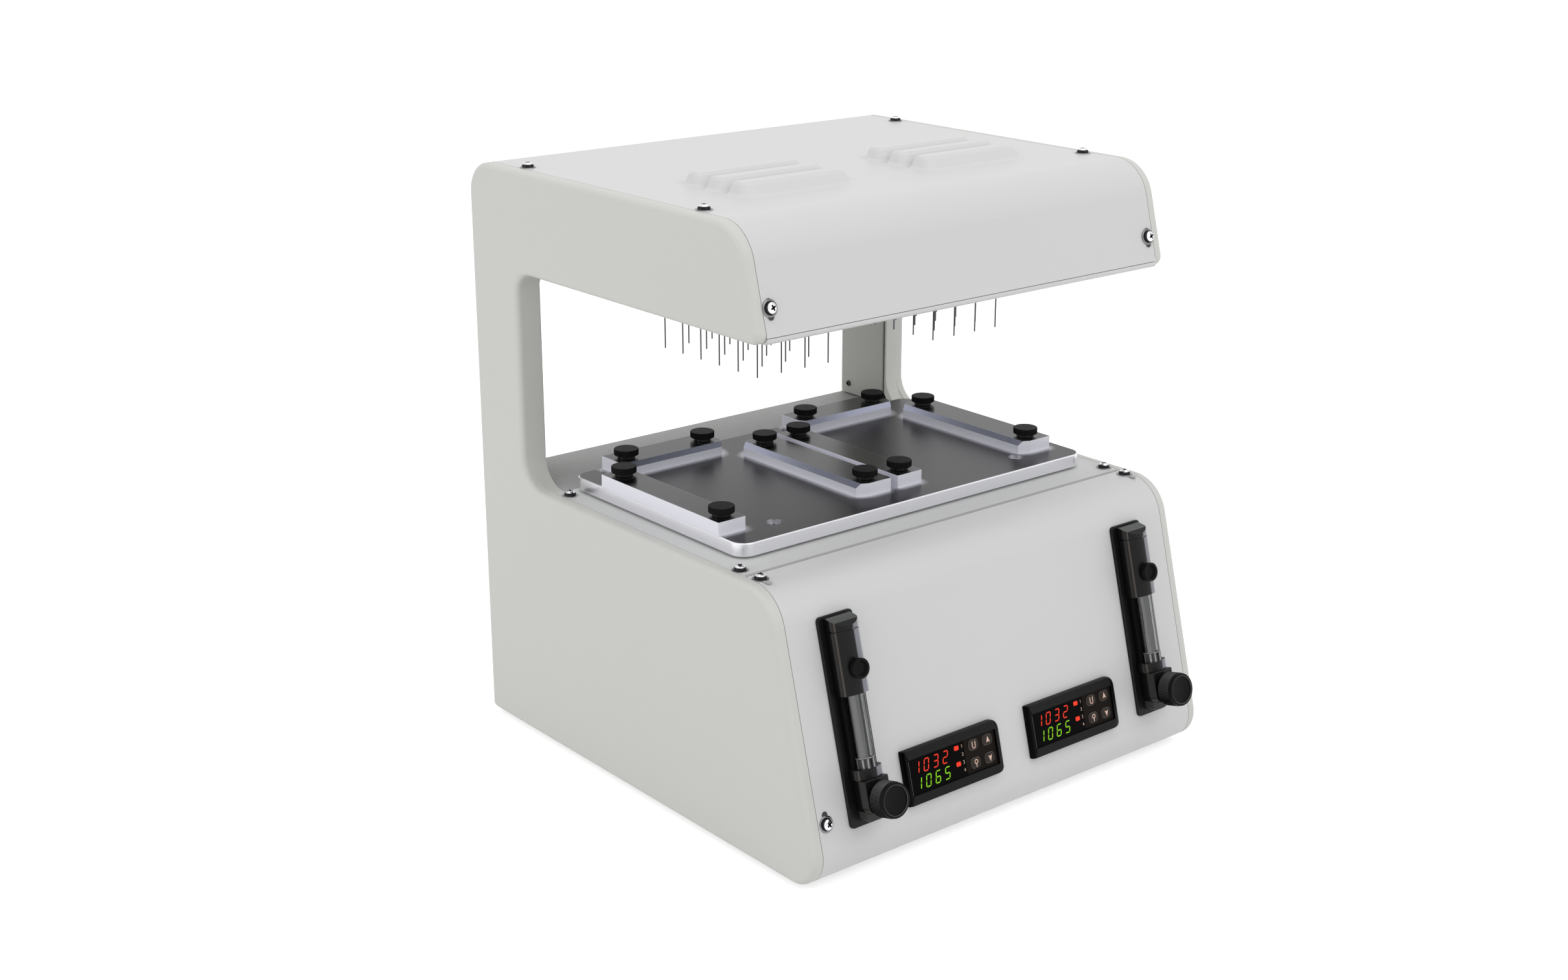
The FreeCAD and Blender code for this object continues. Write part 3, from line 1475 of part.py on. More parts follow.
def make_switch_rocker():
    """The rocker, a lens-shaped bar that tips about the frame's pin."""
    body = new_body("switch_rocker")
    half_width = dim.switch_width / 2 - dim.sheet - dim.rocker_gap
    half_tall, crown = dim.rocker_tall / 2, dim.rocker_depth
    side = sketch_on(body, "YZ")
    add_outline(side, [
        (-half_tall, -crown / 2),
        (half_tall, -crown / 2),
        (half_tall, crown / 2),
        (ZERO, crown / 3),
        (-half_tall, crown / 2),
    ])
    pad(body, side, 2 * half_width, both_ways=True)
    bore = sketch_on(body, "YZ")
    add_circle(bore, ZERO, ZERO, dim.rocker_pin_radius + dim.rocker_pin_fit)
    pocket(body, bore, 2 * (dim.switch_width + dim.overrun), both_ways=True)
    place_at_back(body, dim.switch_x, dim.inlet_height)
    return body


def build_all():
    make_side_panel("side_panel_left", -1)
    make_side_panel("side_panel_right", 1)
    make_column_cover("column_covers")
    make_head_cover()
    make_head_underside()
    make_front_cover()
    make_deck_plate()
    make_rear_cover()
    make_base_pan()
    make_feet()
    for name, centre in zip(("left", "right"), station_centres()):
        make_manifold("manifold_" + name, centre)
        make_needles("needles_" + name, centre)
    make_gas_inlets()
    make_gas_tubes()
    make_tray()
    for name, x, y, screws, kind in guide_table():
        make_guide(name, x, y, screws, kind)
        for number, (screw_x, screw_y) in enumerate(screws, start=1):
            make_thumb_screw("screw_%s_%d" % (name[6:], number), screw_x, screw_y)
    make_lift_frame()
    make_bushings()
    make_actuator()
    for name, side in (("left", -1), ("right", 1)):
        make_flowmeter("flowmeter_" + name, side)
        make_flow_tube("flow_tube_" + name, side)
        make_float("flow_float_" + name, side)
        make_valve_knob("valve_knob_" + name, side)
        make_controller("controller_" + name, side)
        for number, (x, y) in enumerate(key_places(), start=1):
            make_key("key_%s_%d" % (name, number), side, x, y)
    make_shroud_knobs()
    make_power_inlet()
    make_switch_frame()
    make_switch_rocker()


def check_and_export():
    """Writes each piece after every object has recomputed and every shape is sound."""
    doc.recompute()
    for thing in doc.Objects:
        if "Invalid" in thing.State or "Error" in thing.State:
            raise ValueError(thing.Label + " failed to recompute")
    for thing in pieces:
        if thing.Shape.isNull() or not thing.Shape.isValid():
            raise ValueError(thing.Label + " has no sound shape")
    os.makedirs("parts", exist_ok=True)
    for thing in pieces:
        thing.Shape.exportStep("parts/%s.step" % thing.Label)
    print(len(pieces), "pieces")


build_all()
check_and_export()
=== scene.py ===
# %% [markdown]
# # A nitrogen sample evaporator
#
# This bench instrument dries samples: well plates stand on a tray that a lift raises, and warm
# nitrogen blows down on them through rows of fine needles. Two bent side panels carry painted
# sheet covers, and the sloping front has two flowmeters and two temperature controllers.
#
# The engineering model has every solid at its true place. This lesson adds the finishes, and
# the small pieces a CAD model leaves out: screw heads, knurling, figures and key signs.

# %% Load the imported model
import json
import math

import bmesh
import bpy
from mathutils import Matrix, Vector


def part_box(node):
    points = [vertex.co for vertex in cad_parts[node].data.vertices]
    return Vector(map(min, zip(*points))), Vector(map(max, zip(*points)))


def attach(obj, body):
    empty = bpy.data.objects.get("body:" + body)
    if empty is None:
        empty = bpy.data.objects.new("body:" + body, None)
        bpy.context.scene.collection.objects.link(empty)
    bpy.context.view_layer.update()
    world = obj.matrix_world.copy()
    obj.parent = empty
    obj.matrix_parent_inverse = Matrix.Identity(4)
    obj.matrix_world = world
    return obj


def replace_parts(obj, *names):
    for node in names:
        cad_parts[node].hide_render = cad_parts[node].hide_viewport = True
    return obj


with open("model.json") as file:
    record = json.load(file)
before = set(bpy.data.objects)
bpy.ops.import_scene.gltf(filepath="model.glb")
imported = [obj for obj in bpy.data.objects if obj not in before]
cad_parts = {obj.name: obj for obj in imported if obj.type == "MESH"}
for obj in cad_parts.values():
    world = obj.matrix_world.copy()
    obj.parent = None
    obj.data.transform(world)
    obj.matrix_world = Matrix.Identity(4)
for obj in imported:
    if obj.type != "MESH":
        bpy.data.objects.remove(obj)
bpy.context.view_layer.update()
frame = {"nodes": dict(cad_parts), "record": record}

MM = 0.001
SIDES = (("left", -1), ("right", 1))
nodes = frame["nodes"]

# %% [markdown]
# ## The camera
#
# A camera can be placed by hand until the picture looks right, or worked out from lines whose
# real direction is known. Here the edges of the tray and the covers gave the view, so the place
# and the three turns are written as numbers, and the matrix is built from them.

# %% Place the camera
EYE = Vector((-838.06, -962.00, 587.33)) * MM
YAW, PITCH, ROLL = (math.radians(a) for a in (39.396, 18.316, 0.026))
SENSOR = 36.0
LENS = SENSOR * 3264.90 / 2420

forward = Vector((math.sin(YAW) * math.cos(PITCH), math.cos(YAW) * math.cos(PITCH), -math.sin(PITCH)))
level = Vector((math.cos(YAW), -math.sin(YAW), 0.0))
upward = level.cross(forward)
right = level * math.cos(ROLL) + upward * math.sin(ROLL)
top = upward * math.cos(ROLL) - level * math.sin(ROLL)

lens = bpy.data.cameras.new("photo_lens")
lens.lens, lens.sensor_width = LENS, SENSOR
lens.clip_start, lens.clip_end = 0.05, 60.0
camera = bpy.data.objects.new("photo_camera", lens)
camera.matrix_world = Matrix((right, top, -forward)).transposed().to_4x4()
camera.location = EYE
bpy.context.scene.collection.objects.link(camera)
bpy.context.scene.camera = camera
bpy.context.scene.view_settings.view_transform = "Standard"

# %% [markdown]
# ## Floor, sky and lamps
#
# A studio shot of a white instrument uses big soft lamps and a white sweep, so that no hard
# shadow hides a seam. Here the sky is white where the camera, metal or glass looks at it and
# softer where it only lights the paint. The pale floor adds a little light of its own for the
# camera alone, which turns it white without lighting the object, and leaves the soft shadow.

# %% A short way to add shader nodes
def feed(tree, socket, value):
    """Gives a socket its value: another socket, a number or a colour."""
    if isinstance(value, bpy.types.NodeSocket):
        tree.links.new(value, socket)
    elif value is not None:
        socket.default_value = value


def add_node(tree, kind, *values, **settings):
    """A new shader node with its settings; values feed its inputs in order."""
    node = tree.nodes.new("ShaderNode" + kind)
    for label, setting in settings.items():
        setattr(node, label, setting)
    for socket, value in zip(node.inputs, values):
        feed(tree, socket, value)
    return node


def sum_maker(operation):
    """A function that joins two sockets or numbers by one operation."""
    def result(tree, first, second, clamp=False):
        return add_node(tree, "Math", first, second, operation=operation, use_clamp=clamp).outputs[0]
    return result


times, plus, minus, larger = (sum_maker(name) for name in ("MULTIPLY", "ADD", "SUBTRACT", "MAXIMUM"))


def empty_tree(owner):
    """Turns nodes on in a world or a material, and clears them."""
    owner.use_nodes = True
    owner.node_tree.nodes.clear()
    return owner.node_tree


# %% Sky and floor
def seen_directly(tree):
    """1 where a ray from the camera, a mirror or a glass meets the surface, else 0."""
    path = add_node(tree, "LightPath")
    total = path.outputs["Is Camera Ray"]
    for ray in ("Is Glossy Ray", "Is Transmission Ray"):
        total = larger(tree, total, path.outputs[ray])
    return total


WHITE = (1.0, 1.0, 1.0, 1.0)
SKY_LIGHT, FLOOR_GLOW, FLOOR_SHADE, FLOOR_HALF = 0.72, 0.58, 0.8, 12.0
sky = bpy.data.worlds.new("studio_sky")
bpy.context.scene.world = sky
tree = empty_tree(sky)
soft_sky = add_node(tree, "Background", WHITE, SKY_LIGHT).outputs[0]
white_sky = add_node(tree, "Background", WHITE, 1.0).outputs[0]
mixed_sky = add_node(tree, "MixShader", seen_directly(tree), soft_sky, white_sky).outputs[0]
add_node(tree, "OutputWorld", mixed_sky)

floor_mesh = bpy.data.meshes.new("floor")
corners = [(FLOOR_HALF * x, FLOOR_HALF * y, 0) for x, y in ((-1, -1), (1, -1), (1, 1), (-1, 1))]
floor_mesh.from_pydata(corners, [], [(0, 1, 2, 3)])
floor = bpy.data.objects.new("floor", floor_mesh)
bpy.context.scene.collection.objects.link(floor)
floor_paint = bpy.data.materials.new("floor_paint")
tree = empty_tree(floor_paint)
matt = add_node(tree, "BsdfDiffuse", (FLOOR_SHADE, FLOOR_SHADE, FLOOR_SHADE, 1.0)).outputs[0]
glow = add_node(tree, "Emission", WHITE, FLOOR_GLOW).outputs[0]
lit = add_node(tree, "AddShader", matt, glow).outputs[0]
add_node(tree, "OutputMaterial", add_node(tree, "MixShader", seen_directly(tree), matt, lit).outputs[0])
floor_mesh.materials.append(floor_paint)

# %% Lamps
def soft_lamp(name, place, aim, size, watts):
    """A square area lamp that hangs at place and shines at aim."""
    data = bpy.data.lights.new(name, "AREA")
    data.shape, data.size, data.energy = "SQUARE", size, watts
    lamp = bpy.data.objects.new(name, data)
    lamp.location = place
    lamp.rotation_euler = (Vector(aim) - Vector(place)).to_track_quat("-Z", "Y").to_euler()
    bpy.context.scene.collection.objects.link(lamp)
    return lamp


MIDDLE = (0.0, 0.0, 0.15)
lamps = [
    soft_lamp("lamp_front", (0.5, -2.2, 2.0), MIDDLE, 1.6, 12),
    soft_lamp("lamp_over", (0.2, -0.2, 2.6), MIDDLE, 2.0, 7),
    soft_lamp("lamp_left", (-2.2, 0.6, 1.2), MIDDLE, 1.6, 8),
]
print("lamps:", [lamp.name for lamp in lamps])

# %% [markdown]
# ## Shared effects
#
# Several finishes here are made the same way: powder coat is sprayed and baked, so it has a fine
# pebbled skin; blasted metal has grain; edges that hands touch are paler; upper faces gather
# dust; a mask of sheltered places carries painted shade and painted reflection. Each effect is
# built once as a node group with named inputs, and every material uses it with its own numbers.
# The groups only put out colours, masks and heights, so any shader can use them.

# %% Helpers for node groups
NUMBER, COLOUR = "NodeSocketFloat", "NodeSocketColor"


def new_group(name, inputs, outputs):
    """An empty shader node group with the named inputs (name, kind, value) and outputs (name, kind)."""
    group = bpy.data.node_groups.new(name, "ShaderNodeTree")
    for label, kind, value in inputs:
        socket = group.interface.new_socket(name=label, in_out="INPUT", socket_type=kind)
        socket.default_value = value
    for label, kind in outputs:
        group.interface.new_socket(name=label, in_out="OUTPUT", socket_type=kind)
    given, results = group.nodes.new("NodeGroupInput"), group.nodes.new("NodeGroupOutput")
    return group, given.outputs, results.inputs


def noise_node(tree, scale, detail=2.0):
    """Noise measured in object space; scale is a socket or a number, in features per metre."""
    noise = add_node(tree, "TexNoise", add_node(tree, "TexCoord").outputs["Object"])
    feed(tree, noise.inputs["Scale"], scale)
    feed(tree, noise.inputs["Detail"], detail)
    return noise.outputs["Fac"]


def mix_colour(tree, share, first, second):
    """Mixes two colours (sockets or rgb triples) by share."""
    mix = add_node(tree, "Mix", share, data_type="RGBA")
    for socket, value in zip([s for s in mix.inputs if s.type == "RGBA"], (first, second)):
        feed(tree, socket, (*value, 1.0) if isinstance(value, tuple) else value)
    return next(s for s in mix.outputs if s.type == "RGBA")


def scaled(tree, colour, amount):
    """A colour made brighter or darker by amount."""
    scaling = add_node(tree, "VectorMath", colour, operation="SCALE")
    feed(tree, scaling.inputs["Scale"], amount)
    return scaling.outputs[0]

# %% Masks by the direction of a face
def normal_part(tree, axis):
    """X, Y or Z of the direction that the true face looks in."""
    return add_node(tree, "SeparateXYZ", add_node(tree, "NewGeometry").outputs["Normal"]).outputs[axis]


def ramp(tree, value, start, end):
    """0 up to start, 1 from end on, and an even rise between."""
    span = add_node(tree, "MapRange")
    for label, number in (("Value", value), ("From Min", start), ("From Max", end)):
        feed(tree, span.inputs[label], number)
    return span.outputs["Result"]


def turned_up(tree, start, end):
    """0 on walls and 1 on faces that look up."""
    return ramp(tree, normal_part(tree, "Z"), start, end)


def facing_band(tree, low, high, soft=0.03):
    """1 where the x of the face's direction lies between low and high."""
    across = normal_part(tree, "X")
    begun = ramp(tree, across, low - soft, low + soft)
    return minus(tree, begun, ramp(tree, across, high - soft, high + soft), True)

# %% The skin of powder coat
tree, given, results = new_group(
    "powder_coat_skin",
    [("Colour", COLOUR, (0.7, 0.7, 0.7, 1.0)), ("Pebble Scale", NUMBER, 900.0), ("Mottle", NUMBER, 0.03),
     ("Speckle", NUMBER, 0.02), ("Roughness", NUMBER, 0.45)],
    [("Colour", COLOUR), ("Roughness", NUMBER), ("Height", NUMBER)],
)
pebble = noise_node(tree, given["Pebble Scale"], 3.0)
cloud = minus(tree, noise_node(tree, 7.0, 3.0), 0.5)
fleck = minus(tree, noise_node(tree, 2600.0, 1.0), 0.5)
uneven = plus(tree, times(tree, cloud, given["Mottle"]), times(tree, fleck, given["Speckle"]))
feed(tree, results["Colour"], scaled(tree, given["Colour"], plus(tree, uneven, 1.0)))
even_roughness = minus(tree, given["Roughness"], 0.06)
feed(tree, results["Roughness"], plus(tree, times(tree, pebble, 0.12), even_roughness))
feed(tree, results["Height"], pebble)
coat_group = tree

# %% Pale edges where hands and rims rub
tree, given, results = new_group(
    "rubbed_edge", [("Width", NUMBER, 0.0006), ("Strength", NUMBER, 0.5)], [("Mask", NUMBER)])
rounded = add_node(tree, "Bevel", given["Width"], samples=4).outputs[0]
true_face = add_node(tree, "NewGeometry").outputs["Normal"]
how_flat = add_node(tree, "VectorMath", rounded, true_face, operation="DOT_PRODUCT").outputs["Value"]
rub = times(tree, minus(tree, 1.0, how_flat), 4.0, True)
patchy = plus(tree, times(tree, noise_node(tree, 160.0, 3.0), 0.9), 0.35, True)
feed(tree, results["Mask"], times(tree, times(tree, rub, patchy), given["Strength"], True))
edge_group = tree

# %% Dust on upper faces
tree, given, results = new_group("settled_dust", [("Amount", NUMBER, 0.2)], [("Mask", NUMBER)])
upper = minus(tree, normal_part(tree, "Z"), 0.5, True)
drift = times(tree, noise_node(tree, 22.0, 4.0), noise_node(tree, 700.0, 2.0))
feed(tree, results["Mask"], times(tree, times(tree, upper, drift), given["Amount"], True))
dust_group = tree

# %% A mask of sheltered places, for painted shade and painted reflection
tree, given, results = new_group(
    "sheltered_mask_for_painted_light", [("Reach", NUMBER, 0.30), ("Amount", NUMBER, 1.0)], [("Mask", NUMBER)])
openness = add_node(tree, "AmbientOcclusion", samples=8)
feed(tree, openness.inputs["Distance"], given["Reach"])
closed = minus(tree, 1.0, openness.outputs["AO"])
mask_speckle = plus(tree, times(tree, noise_node(tree, 1500.0, 2.0), 0.9), 0.55)
feed(tree, results["Mask"], times(tree, times(tree, closed, mask_speckle), given["Amount"], True))
shelter_group = tree

# %% Grain of worked metal
tree, given, results = new_group(
    "worked_metal",
    [("Colour", COLOUR, (0.7, 0.7, 0.7, 1.0)), ("Grain Scale", NUMBER, 300.0), ("Roughness", NUMBER, 0.3),
     ("Variation", NUMBER, 0.06)],
    [("Colour", COLOUR), ("Roughness", NUMBER), ("Height", NUMBER)],
)
grain = noise_node(tree, given["Grain Scale"], 4.0)
smear = minus(tree, noise_node(tree, 18.0, 3.0), 0.5)
wander = plus(tree, times(tree, smear, given["Variation"]), 1.0)
feed(tree, results["Colour"], scaled(tree, given["Colour"], wander))
even_roughness = minus(tree, given["Roughness"], 0.05)
feed(tree, results["Roughness"], plus(tree, times(tree, grain, 0.1), even_roughness))
feed(tree, results["Height"], grain)
metal_group = tree
print("shared effects:", [g.name for g in bpy.data.node_groups])

# %% [markdown]
# ## Finishes
#
# Each finish is one material whose shader stays in the material itself. The painted steel
# comes in a pale shade for the covers and a warmer, slightly darker one for the side panels.
# A straight colour would look like plastic, so the paint has its pebbled skin, a little
# mottling and paler rims. The rear cover's paint also has painted shade on its sheltered upper
# faces, and the column covers have a darker copy of the paint as painted shade.

# %% A material and the parts every material shares
finishes_by_name = {}


def new_finish(name, **plain):
    """A material with one Principled shader, whose sockets take the plain values."""
    finish = finishes_by_name[name] = bpy.data.materials.new(name)
    finish.use_nodes = True
    tree = finish.node_tree
    shader = tree.nodes["Principled BSDF"]
    for label, value in plain.items():
        shader.inputs[label.replace("_", " ").title().replace("Ior", "IOR")].default_value = value
    return finish, tree, shader


def use_group(tree, group, **values):
    """Places a shared effect in a material, with its own numbers. Gives its outputs."""
    node = add_node(tree, "Group", node_tree=group)
    for label, value in values.items():
        feed(tree, node.inputs[label.replace("_", " ")], (*value, 1.0) if isinstance(value, tuple) else value)
    return node.outputs


def connect(tree, shader, colour, skin, bump_height, bump_strength):
    """Gives the shader a colour, and the roughness and relief of a skin; the height is in metres."""
    feed(tree, shader.inputs["Base Color"], colour)
    feed(tree, shader.inputs["Roughness"], skin["Roughness"])
    bump = add_node(tree, "Bump")
    for label, value in (("Distance", bump_height), ("Strength", bump_strength), ("Height", skin["Height"])):
        feed(tree, bump.inputs[label], value)
    feed(tree, shader.inputs["Normal"], bump.outputs[0])

# %% Painted steel
UP_SOFT = (0.6, 0.95)
UP_CRISP = (0.8, 0.95)
DUST_COLOUR = (0.62, 0.60, 0.56)


def painted_steel(name, colour, roughness=0.42, speckle=0.03, mottle=0.03, pebble=900.0, rub=0.35, painted_shade=0.0):
    """Powder coat; the last argument paints shade on upper faces that stand in a sheltered place."""
    finish, tree, shader = new_finish(name, coat_weight=0.0)
    skin = use_group(tree, coat_group, Colour=colour, Pebble_Scale=pebble, Mottle=mottle, Speckle=speckle,
                     Roughness=roughness)
    edge = use_group(tree, edge_group, Width=0.0008, Strength=rub)
    settled = use_group(tree, dust_group, Amount=0.1)
    paler = tuple(min(1.0, c * 1.12) for c in colour)
    tone = mix_colour(tree, edge["Mask"], skin["Colour"], paler)
    tone = mix_colour(tree, settled["Mask"], tone, DUST_COLOUR)
    if painted_shade:
        # Painted shade: sheltered upper faces darken towards a dark grey.
        inner = use_group(tree, shelter_group, Amount=painted_shade)
        share = times(tree, inner["Mask"], turned_up(tree, *UP_SOFT))
        tone = mix_colour(tree, share, tone, (0.075, 0.075, 0.072))
    connect(tree, shader, tone, skin, 0.00005, 0.4)
    return finish


PANEL_COLOUR = (0.665, 0.665, 0.635)
COVER_COLOUR = (0.69, 0.695, 0.69)
COARSE = {"roughness": 0.5, "pebble": 500.0}
painted_steel("panel_paint", PANEL_COLOUR, roughness=0.5)
painted_steel("cover_paint", COVER_COLOUR, roughness=0.38, mottle=0.02)
painted_steel("deck_paint", COVER_COLOUR, speckle=0.08, **COARSE)
# The rear cover's paint gets painted shade on its sheltered upper faces.
rear_paint = painted_steel("rear_paint", COVER_COLOUR, speckle=0.12, painted_shade=0.95, **COARSE)
# This darker copy of the paint is painted shade on the column covers.
column_paint_painted_shade = painted_steel("column_paint_painted_shade", (0.40, 0.40, 0.37), speckle=0.3, **COARSE)

# %% [markdown]
# The tray and its guides are anodised aluminium: blasted and dyed, with a satin skin of very
# fine grain. Their flat tops look dark because they mirror the head above them, and their sides
# mirror the white room, so these reflections are painted: each face gets its tone by the
# direction it looks in, worked out from the surface itself, so it stays true from every side.
# Beside the guides' walls the tray top gets a painted reflection of the bright walls.

# %% Anodised metal
def anodised(name, wall_colour, top_colour, roughness, wall_reflection_width=0.0, slope_colour=None):
    """Tops, slopes and walls each get a tone of painted reflection; beside slopes the walls are lit rather
    than mirroring, and near walls the top gets a pale painted reflection of them.
    """
    finish, tree, shader = new_finish(name, metallic=1.0)
    skin = use_group(tree, metal_group, Colour=wall_colour, Grain_Scale=5000.0, Roughness=roughness,
                     Variation=0.04)
    edge = use_group(tree, edge_group, Width=0.0005, Strength=0.6)
    tone = skin["Colour"]
    if slope_colour:
        # Painted reflection: slopes take their own tone.
        sloping = turned_up(tree, 0.1, 0.3)
        tone = mix_colour(tree, sloping, tone, slope_colour)
        feed(tree, shader.inputs["Metallic"], sloping)
    # Painted reflection: tops take the dark tone of the head they mirror.
    tone = mix_colour(tree, turned_up(tree, *UP_CRISP), tone, top_colour)
    if wall_reflection_width:
        # Painted reflection of the bright walls on the top beside them.
        near = use_group(tree, shelter_group, Reach=wall_reflection_width, Amount=2.0)
        share = times(tree, near["Mask"], turned_up(tree, *UP_CRISP))
        tone = mix_colour(tree, share, tone, (0.74, 0.74, 0.80))
        feed(tree, shader.inputs["Metallic"], minus(tree, 1.0, share))
    connect(tree, shader, mix_colour(tree, edge["Mask"], tone, (0.85, 0.85, 0.88)), skin, 0.00001, 0.2)
    return finish


tray_metal = anodised("tray_metal", (0.86, 0.86, 0.90), (0.036, 0.036, 0.040), 0.30, 0.006)
guide_metal = anodised("guide_metal", (0.86, 0.86, 0.94), (0.050, 0.050, 0.053), 0.26,
                       slope_colour=(0.36, 0.38, 0.48))

# %% Bare metal
def worked(name, colour, roughness=0.3, grain=300.0, variation=0.06, metallic=1.0, bump=0.00002, rub=0.3,
           rim=(0.8, 0.8, 0.8), **plain):
    """A metal or moulded skin with grain, paler rims and a fine bump."""
    finish, tree, shader = new_finish(name, metallic=metallic, **plain)
    skin = use_group(tree, metal_group, Colour=colour, Grain_Scale=grain, Roughness=roughness,
                     Variation=variation)
    edge = use_group(tree, edge_group, Width=0.0003, Strength=rub)
    connect(tree, shader, mix_colour(tree, edge["Mask"], skin["Colour"], rim), skin, bump, 0.4)
    return finish


def chromed(name, colour, roughness, grain, variation, rub):
    return worked(name, colour, roughness, grain, variation, bump=0.000004, rub=rub)


worked("needle_steel", (0.055, 0.055, 0.06), 0.32, grain=1500.0, rub=0.0)
worked("manifold_alloy", (0.62, 0.62, 0.63), 0.35)
worked("frame_alloy", (0.58, 0.58, 0.60), 0.4)
turned_brass = worked("turned_brass", (0.52, 0.40, 0.21), 0.34, rim=(0.8, 0.65, 0.35))
worked("float_steel", (0.6, 0.6, 0.62), 0.14, grain=400.0)
# The two darker copies of chrome are painted: a dim reflection for flanges and screw bodies, and deep shade
# for lower domes and recesses.
chrome = chromed("chrome", (0.86, 0.86, 0.88), 0.10, 120.0, 0.02, 0.1)
chrome_painted_dim = chromed("chrome_painted_dim", (0.22, 0.22, 0.23), 0.16, 300.0, 0.1, 0.5)
chrome_shade = chromed("chrome_shade", (0.022, 0.022, 0.024), 0.14, 120.0, 0.1, 0.0)

# %% [markdown]
# The black pieces are moulded plastic. Pure black is never right: a lamp always lifts it a
# little, and handled rims wear to a soft shine. The tube of a flowmeter is clear acrylic, so it
# keeps a plain transmission value, and only its roughness and its polish vary.

# %% Moulded and clear pieces
GREY_RIM = (0.06, 0.06, 0.06)
PLAIN_GLOSS = 0.5


def moulded(name, colour, roughness, grain=500.0, variation=0.2, bump=0.00002, rub=0.2, rim=GREY_RIM,
            gloss=0.2):
    """Plastic, rubber or ink; colour is a triple, or one number for a grey, and gloss the specular level."""
    colour = colour if isinstance(colour, tuple) else (colour,) * 3
    return worked(name, colour, roughness, grain, variation, 0.0, bump, rub, rim, specular_ior_level=gloss)


meter_black = moulded("meter_black", 0.006, 0.40, bump=0.00003, rub=0.25)
knob_black = moulded("knob_black", 0.006, 0.45, rub=0.35, gloss=0.07)
thumb_black = moulded("thumb_black", 0.006, 0.5, 600.0, rub=0.3, gloss=0.07)
case_black = moulded("case_black", (0.0035, 0.0035, 0.0038), 0.42, 900.0, bump=0.00003, rub=0.15, gloss=0.14)
case_end_shade = moulded("case_end_shade", 0.0015, 0.30, 900.0, bump=0.00001, rub=0.1, gloss=0.05)
moulded("key_rubber", (0.022, 0.016, 0.013), 0.5, 900.0, bump=0.00003, rub=0.9, rim=(0.15, 0.12, 0.10))
moulded("foot_rubber", 0.012, 0.7, 400.0, bump=0.00008, gloss=PLAIN_GLOSS)
moulded("socket_black", 0.012, 0.45, bump=0.00003, gloss=PLAIN_GLOSS)
moulded("rocker_black", 0.014, 0.25, bump=0.00001, gloss=PLAIN_GLOSS)
hose_plastic = moulded("hose_plastic", (0.55, 0.56, 0.56), 0.4, 60.0, 0.05, rub=0.1, rim=(0.8, 0.8, 0.8),
                       gloss=PLAIN_GLOSS)
moulded("drive_paint", (0.05, 0.05, 0.055), 0.5, variation=0.1, bump=0.00003, rub=0.3, rim=(0.3, 0.3, 0.3),
        gloss=PLAIN_GLOSS)

# The acrylic's polish mirrors the room in a broad band on one flank and a narrow one on the other.
sight_acrylic, tree, shader = new_finish("sight_acrylic", base_color=(0.24, 0.245, 0.25, 1.0), ior=1.49,
                                         transmission_weight=1.0, coat_roughness=0.04, coat_ior=1.75)
feed(tree, shader.inputs["Roughness"], plus(tree, times(tree, noise_node(tree, 240.0, 3.0), 0.05), 0.02))
feed(tree, shader.inputs["Coat Weight"],
     plus(tree, facing_band(tree, -0.98, -0.30, 0.01), facing_band(tree, 0.66, 0.78, 0.01), True))

# %% Dress the solids
finish_of_slot = finishes_by_name | {  # the slots whose finish has another name
    "anodised_plate": tray_metal, "anodised_guide": guide_metal, "sight_tube": sight_acrylic,
    "controller_black": case_black, "fitting_brass": turned_brass, "bush_brass": turned_brass,
    "gas_hose": hose_plastic,
}
finish_of_node = {"rear_cover": rear_paint, "column_covers": column_paint_painted_shade}
for part in frame["record"]["subparts"]:
    solid = nodes[part["node"]]
    if not solid.material_slots:
        solid.data.materials.append(None)
    for place in solid.material_slots:
        place.material = finish_of_node.get(part["node"], finish_of_slot[part["material_slot"]])

# %% [markdown]
# ## Turned pieces
#
# Screw heads and knobs are turned on a lathe and then knurled or recessed. A lathe in code is a
# list of rings, each with a height and a radius. The radius may depend on the angle, which cuts
# knurling or a star-shaped recess without any boolean, and the skin between two rings is a plain
# band of quads.

# %% A lathe in code
def close_mesh(name, shape, finishes, sharp=30.0):
    """Turns a bmesh into a mesh with its finishes, smooth but for edges over the sharp angle."""
    mesh = bpy.data.meshes.new(name)
    shape.normal_update()
    shape.to_mesh(mesh)
    shape.free()
    for face in mesh.polygons:
        face.use_smooth = True
    mesh.set_sharp_from_angle(angle=math.radians(sharp))
    for finish in finishes:
        mesh.materials.append(finish)
    return mesh


def lathe(name, rings, around, finishes, sharp=28.0, finish_at=lambda band, step: 0):
    """A closed turned mesh, from rings (height, radius or f(angle)) in mm; they run from the bottom middle
    to the top middle, and finish_at says which of the finishes the face of a band and a step has."""
    shape = bmesh.new()
    rows = []
    for height, radius in rings:
        row = []
        for step in range(around if radius else 1):
            turn = math.tau * step / around
            reach = (radius(turn) if callable(radius) else radius) * MM
            row.append(shape.verts.new((reach * math.cos(turn), reach * math.sin(turn), height * MM)))
        rows.append(row)
    for band, (low, high) in enumerate(zip(rows, rows[1:])):
        for step in range(around):
            after = (step + 1) % around
            corners = [low[0]] if len(low) == 1 else [low[step], low[after]]
            corners += [high[0]] if len(high) == 1 else [high[after], high[step]]
            shape.faces.new(corners).material_index = finish_at(band, step)
    return close_mesh(name, shape, finishes, sharp)


def put(name, mesh, body, matrix):
    """A new object from mesh, standing where matrix says, riding on body."""
    piece = bpy.data.objects.new(name, mesh)
    bpy.context.scene.collection.objects.link(piece)
    piece.matrix_world = matrix
    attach(piece, body)
    return piece


def knurled(radius, depth, teeth):
    """A radius that saw-tooths round the edge."""
    return lambda turn: radius - depth * abs(2 * ((turn * teeth / math.tau) % 1.0) - 1.0)

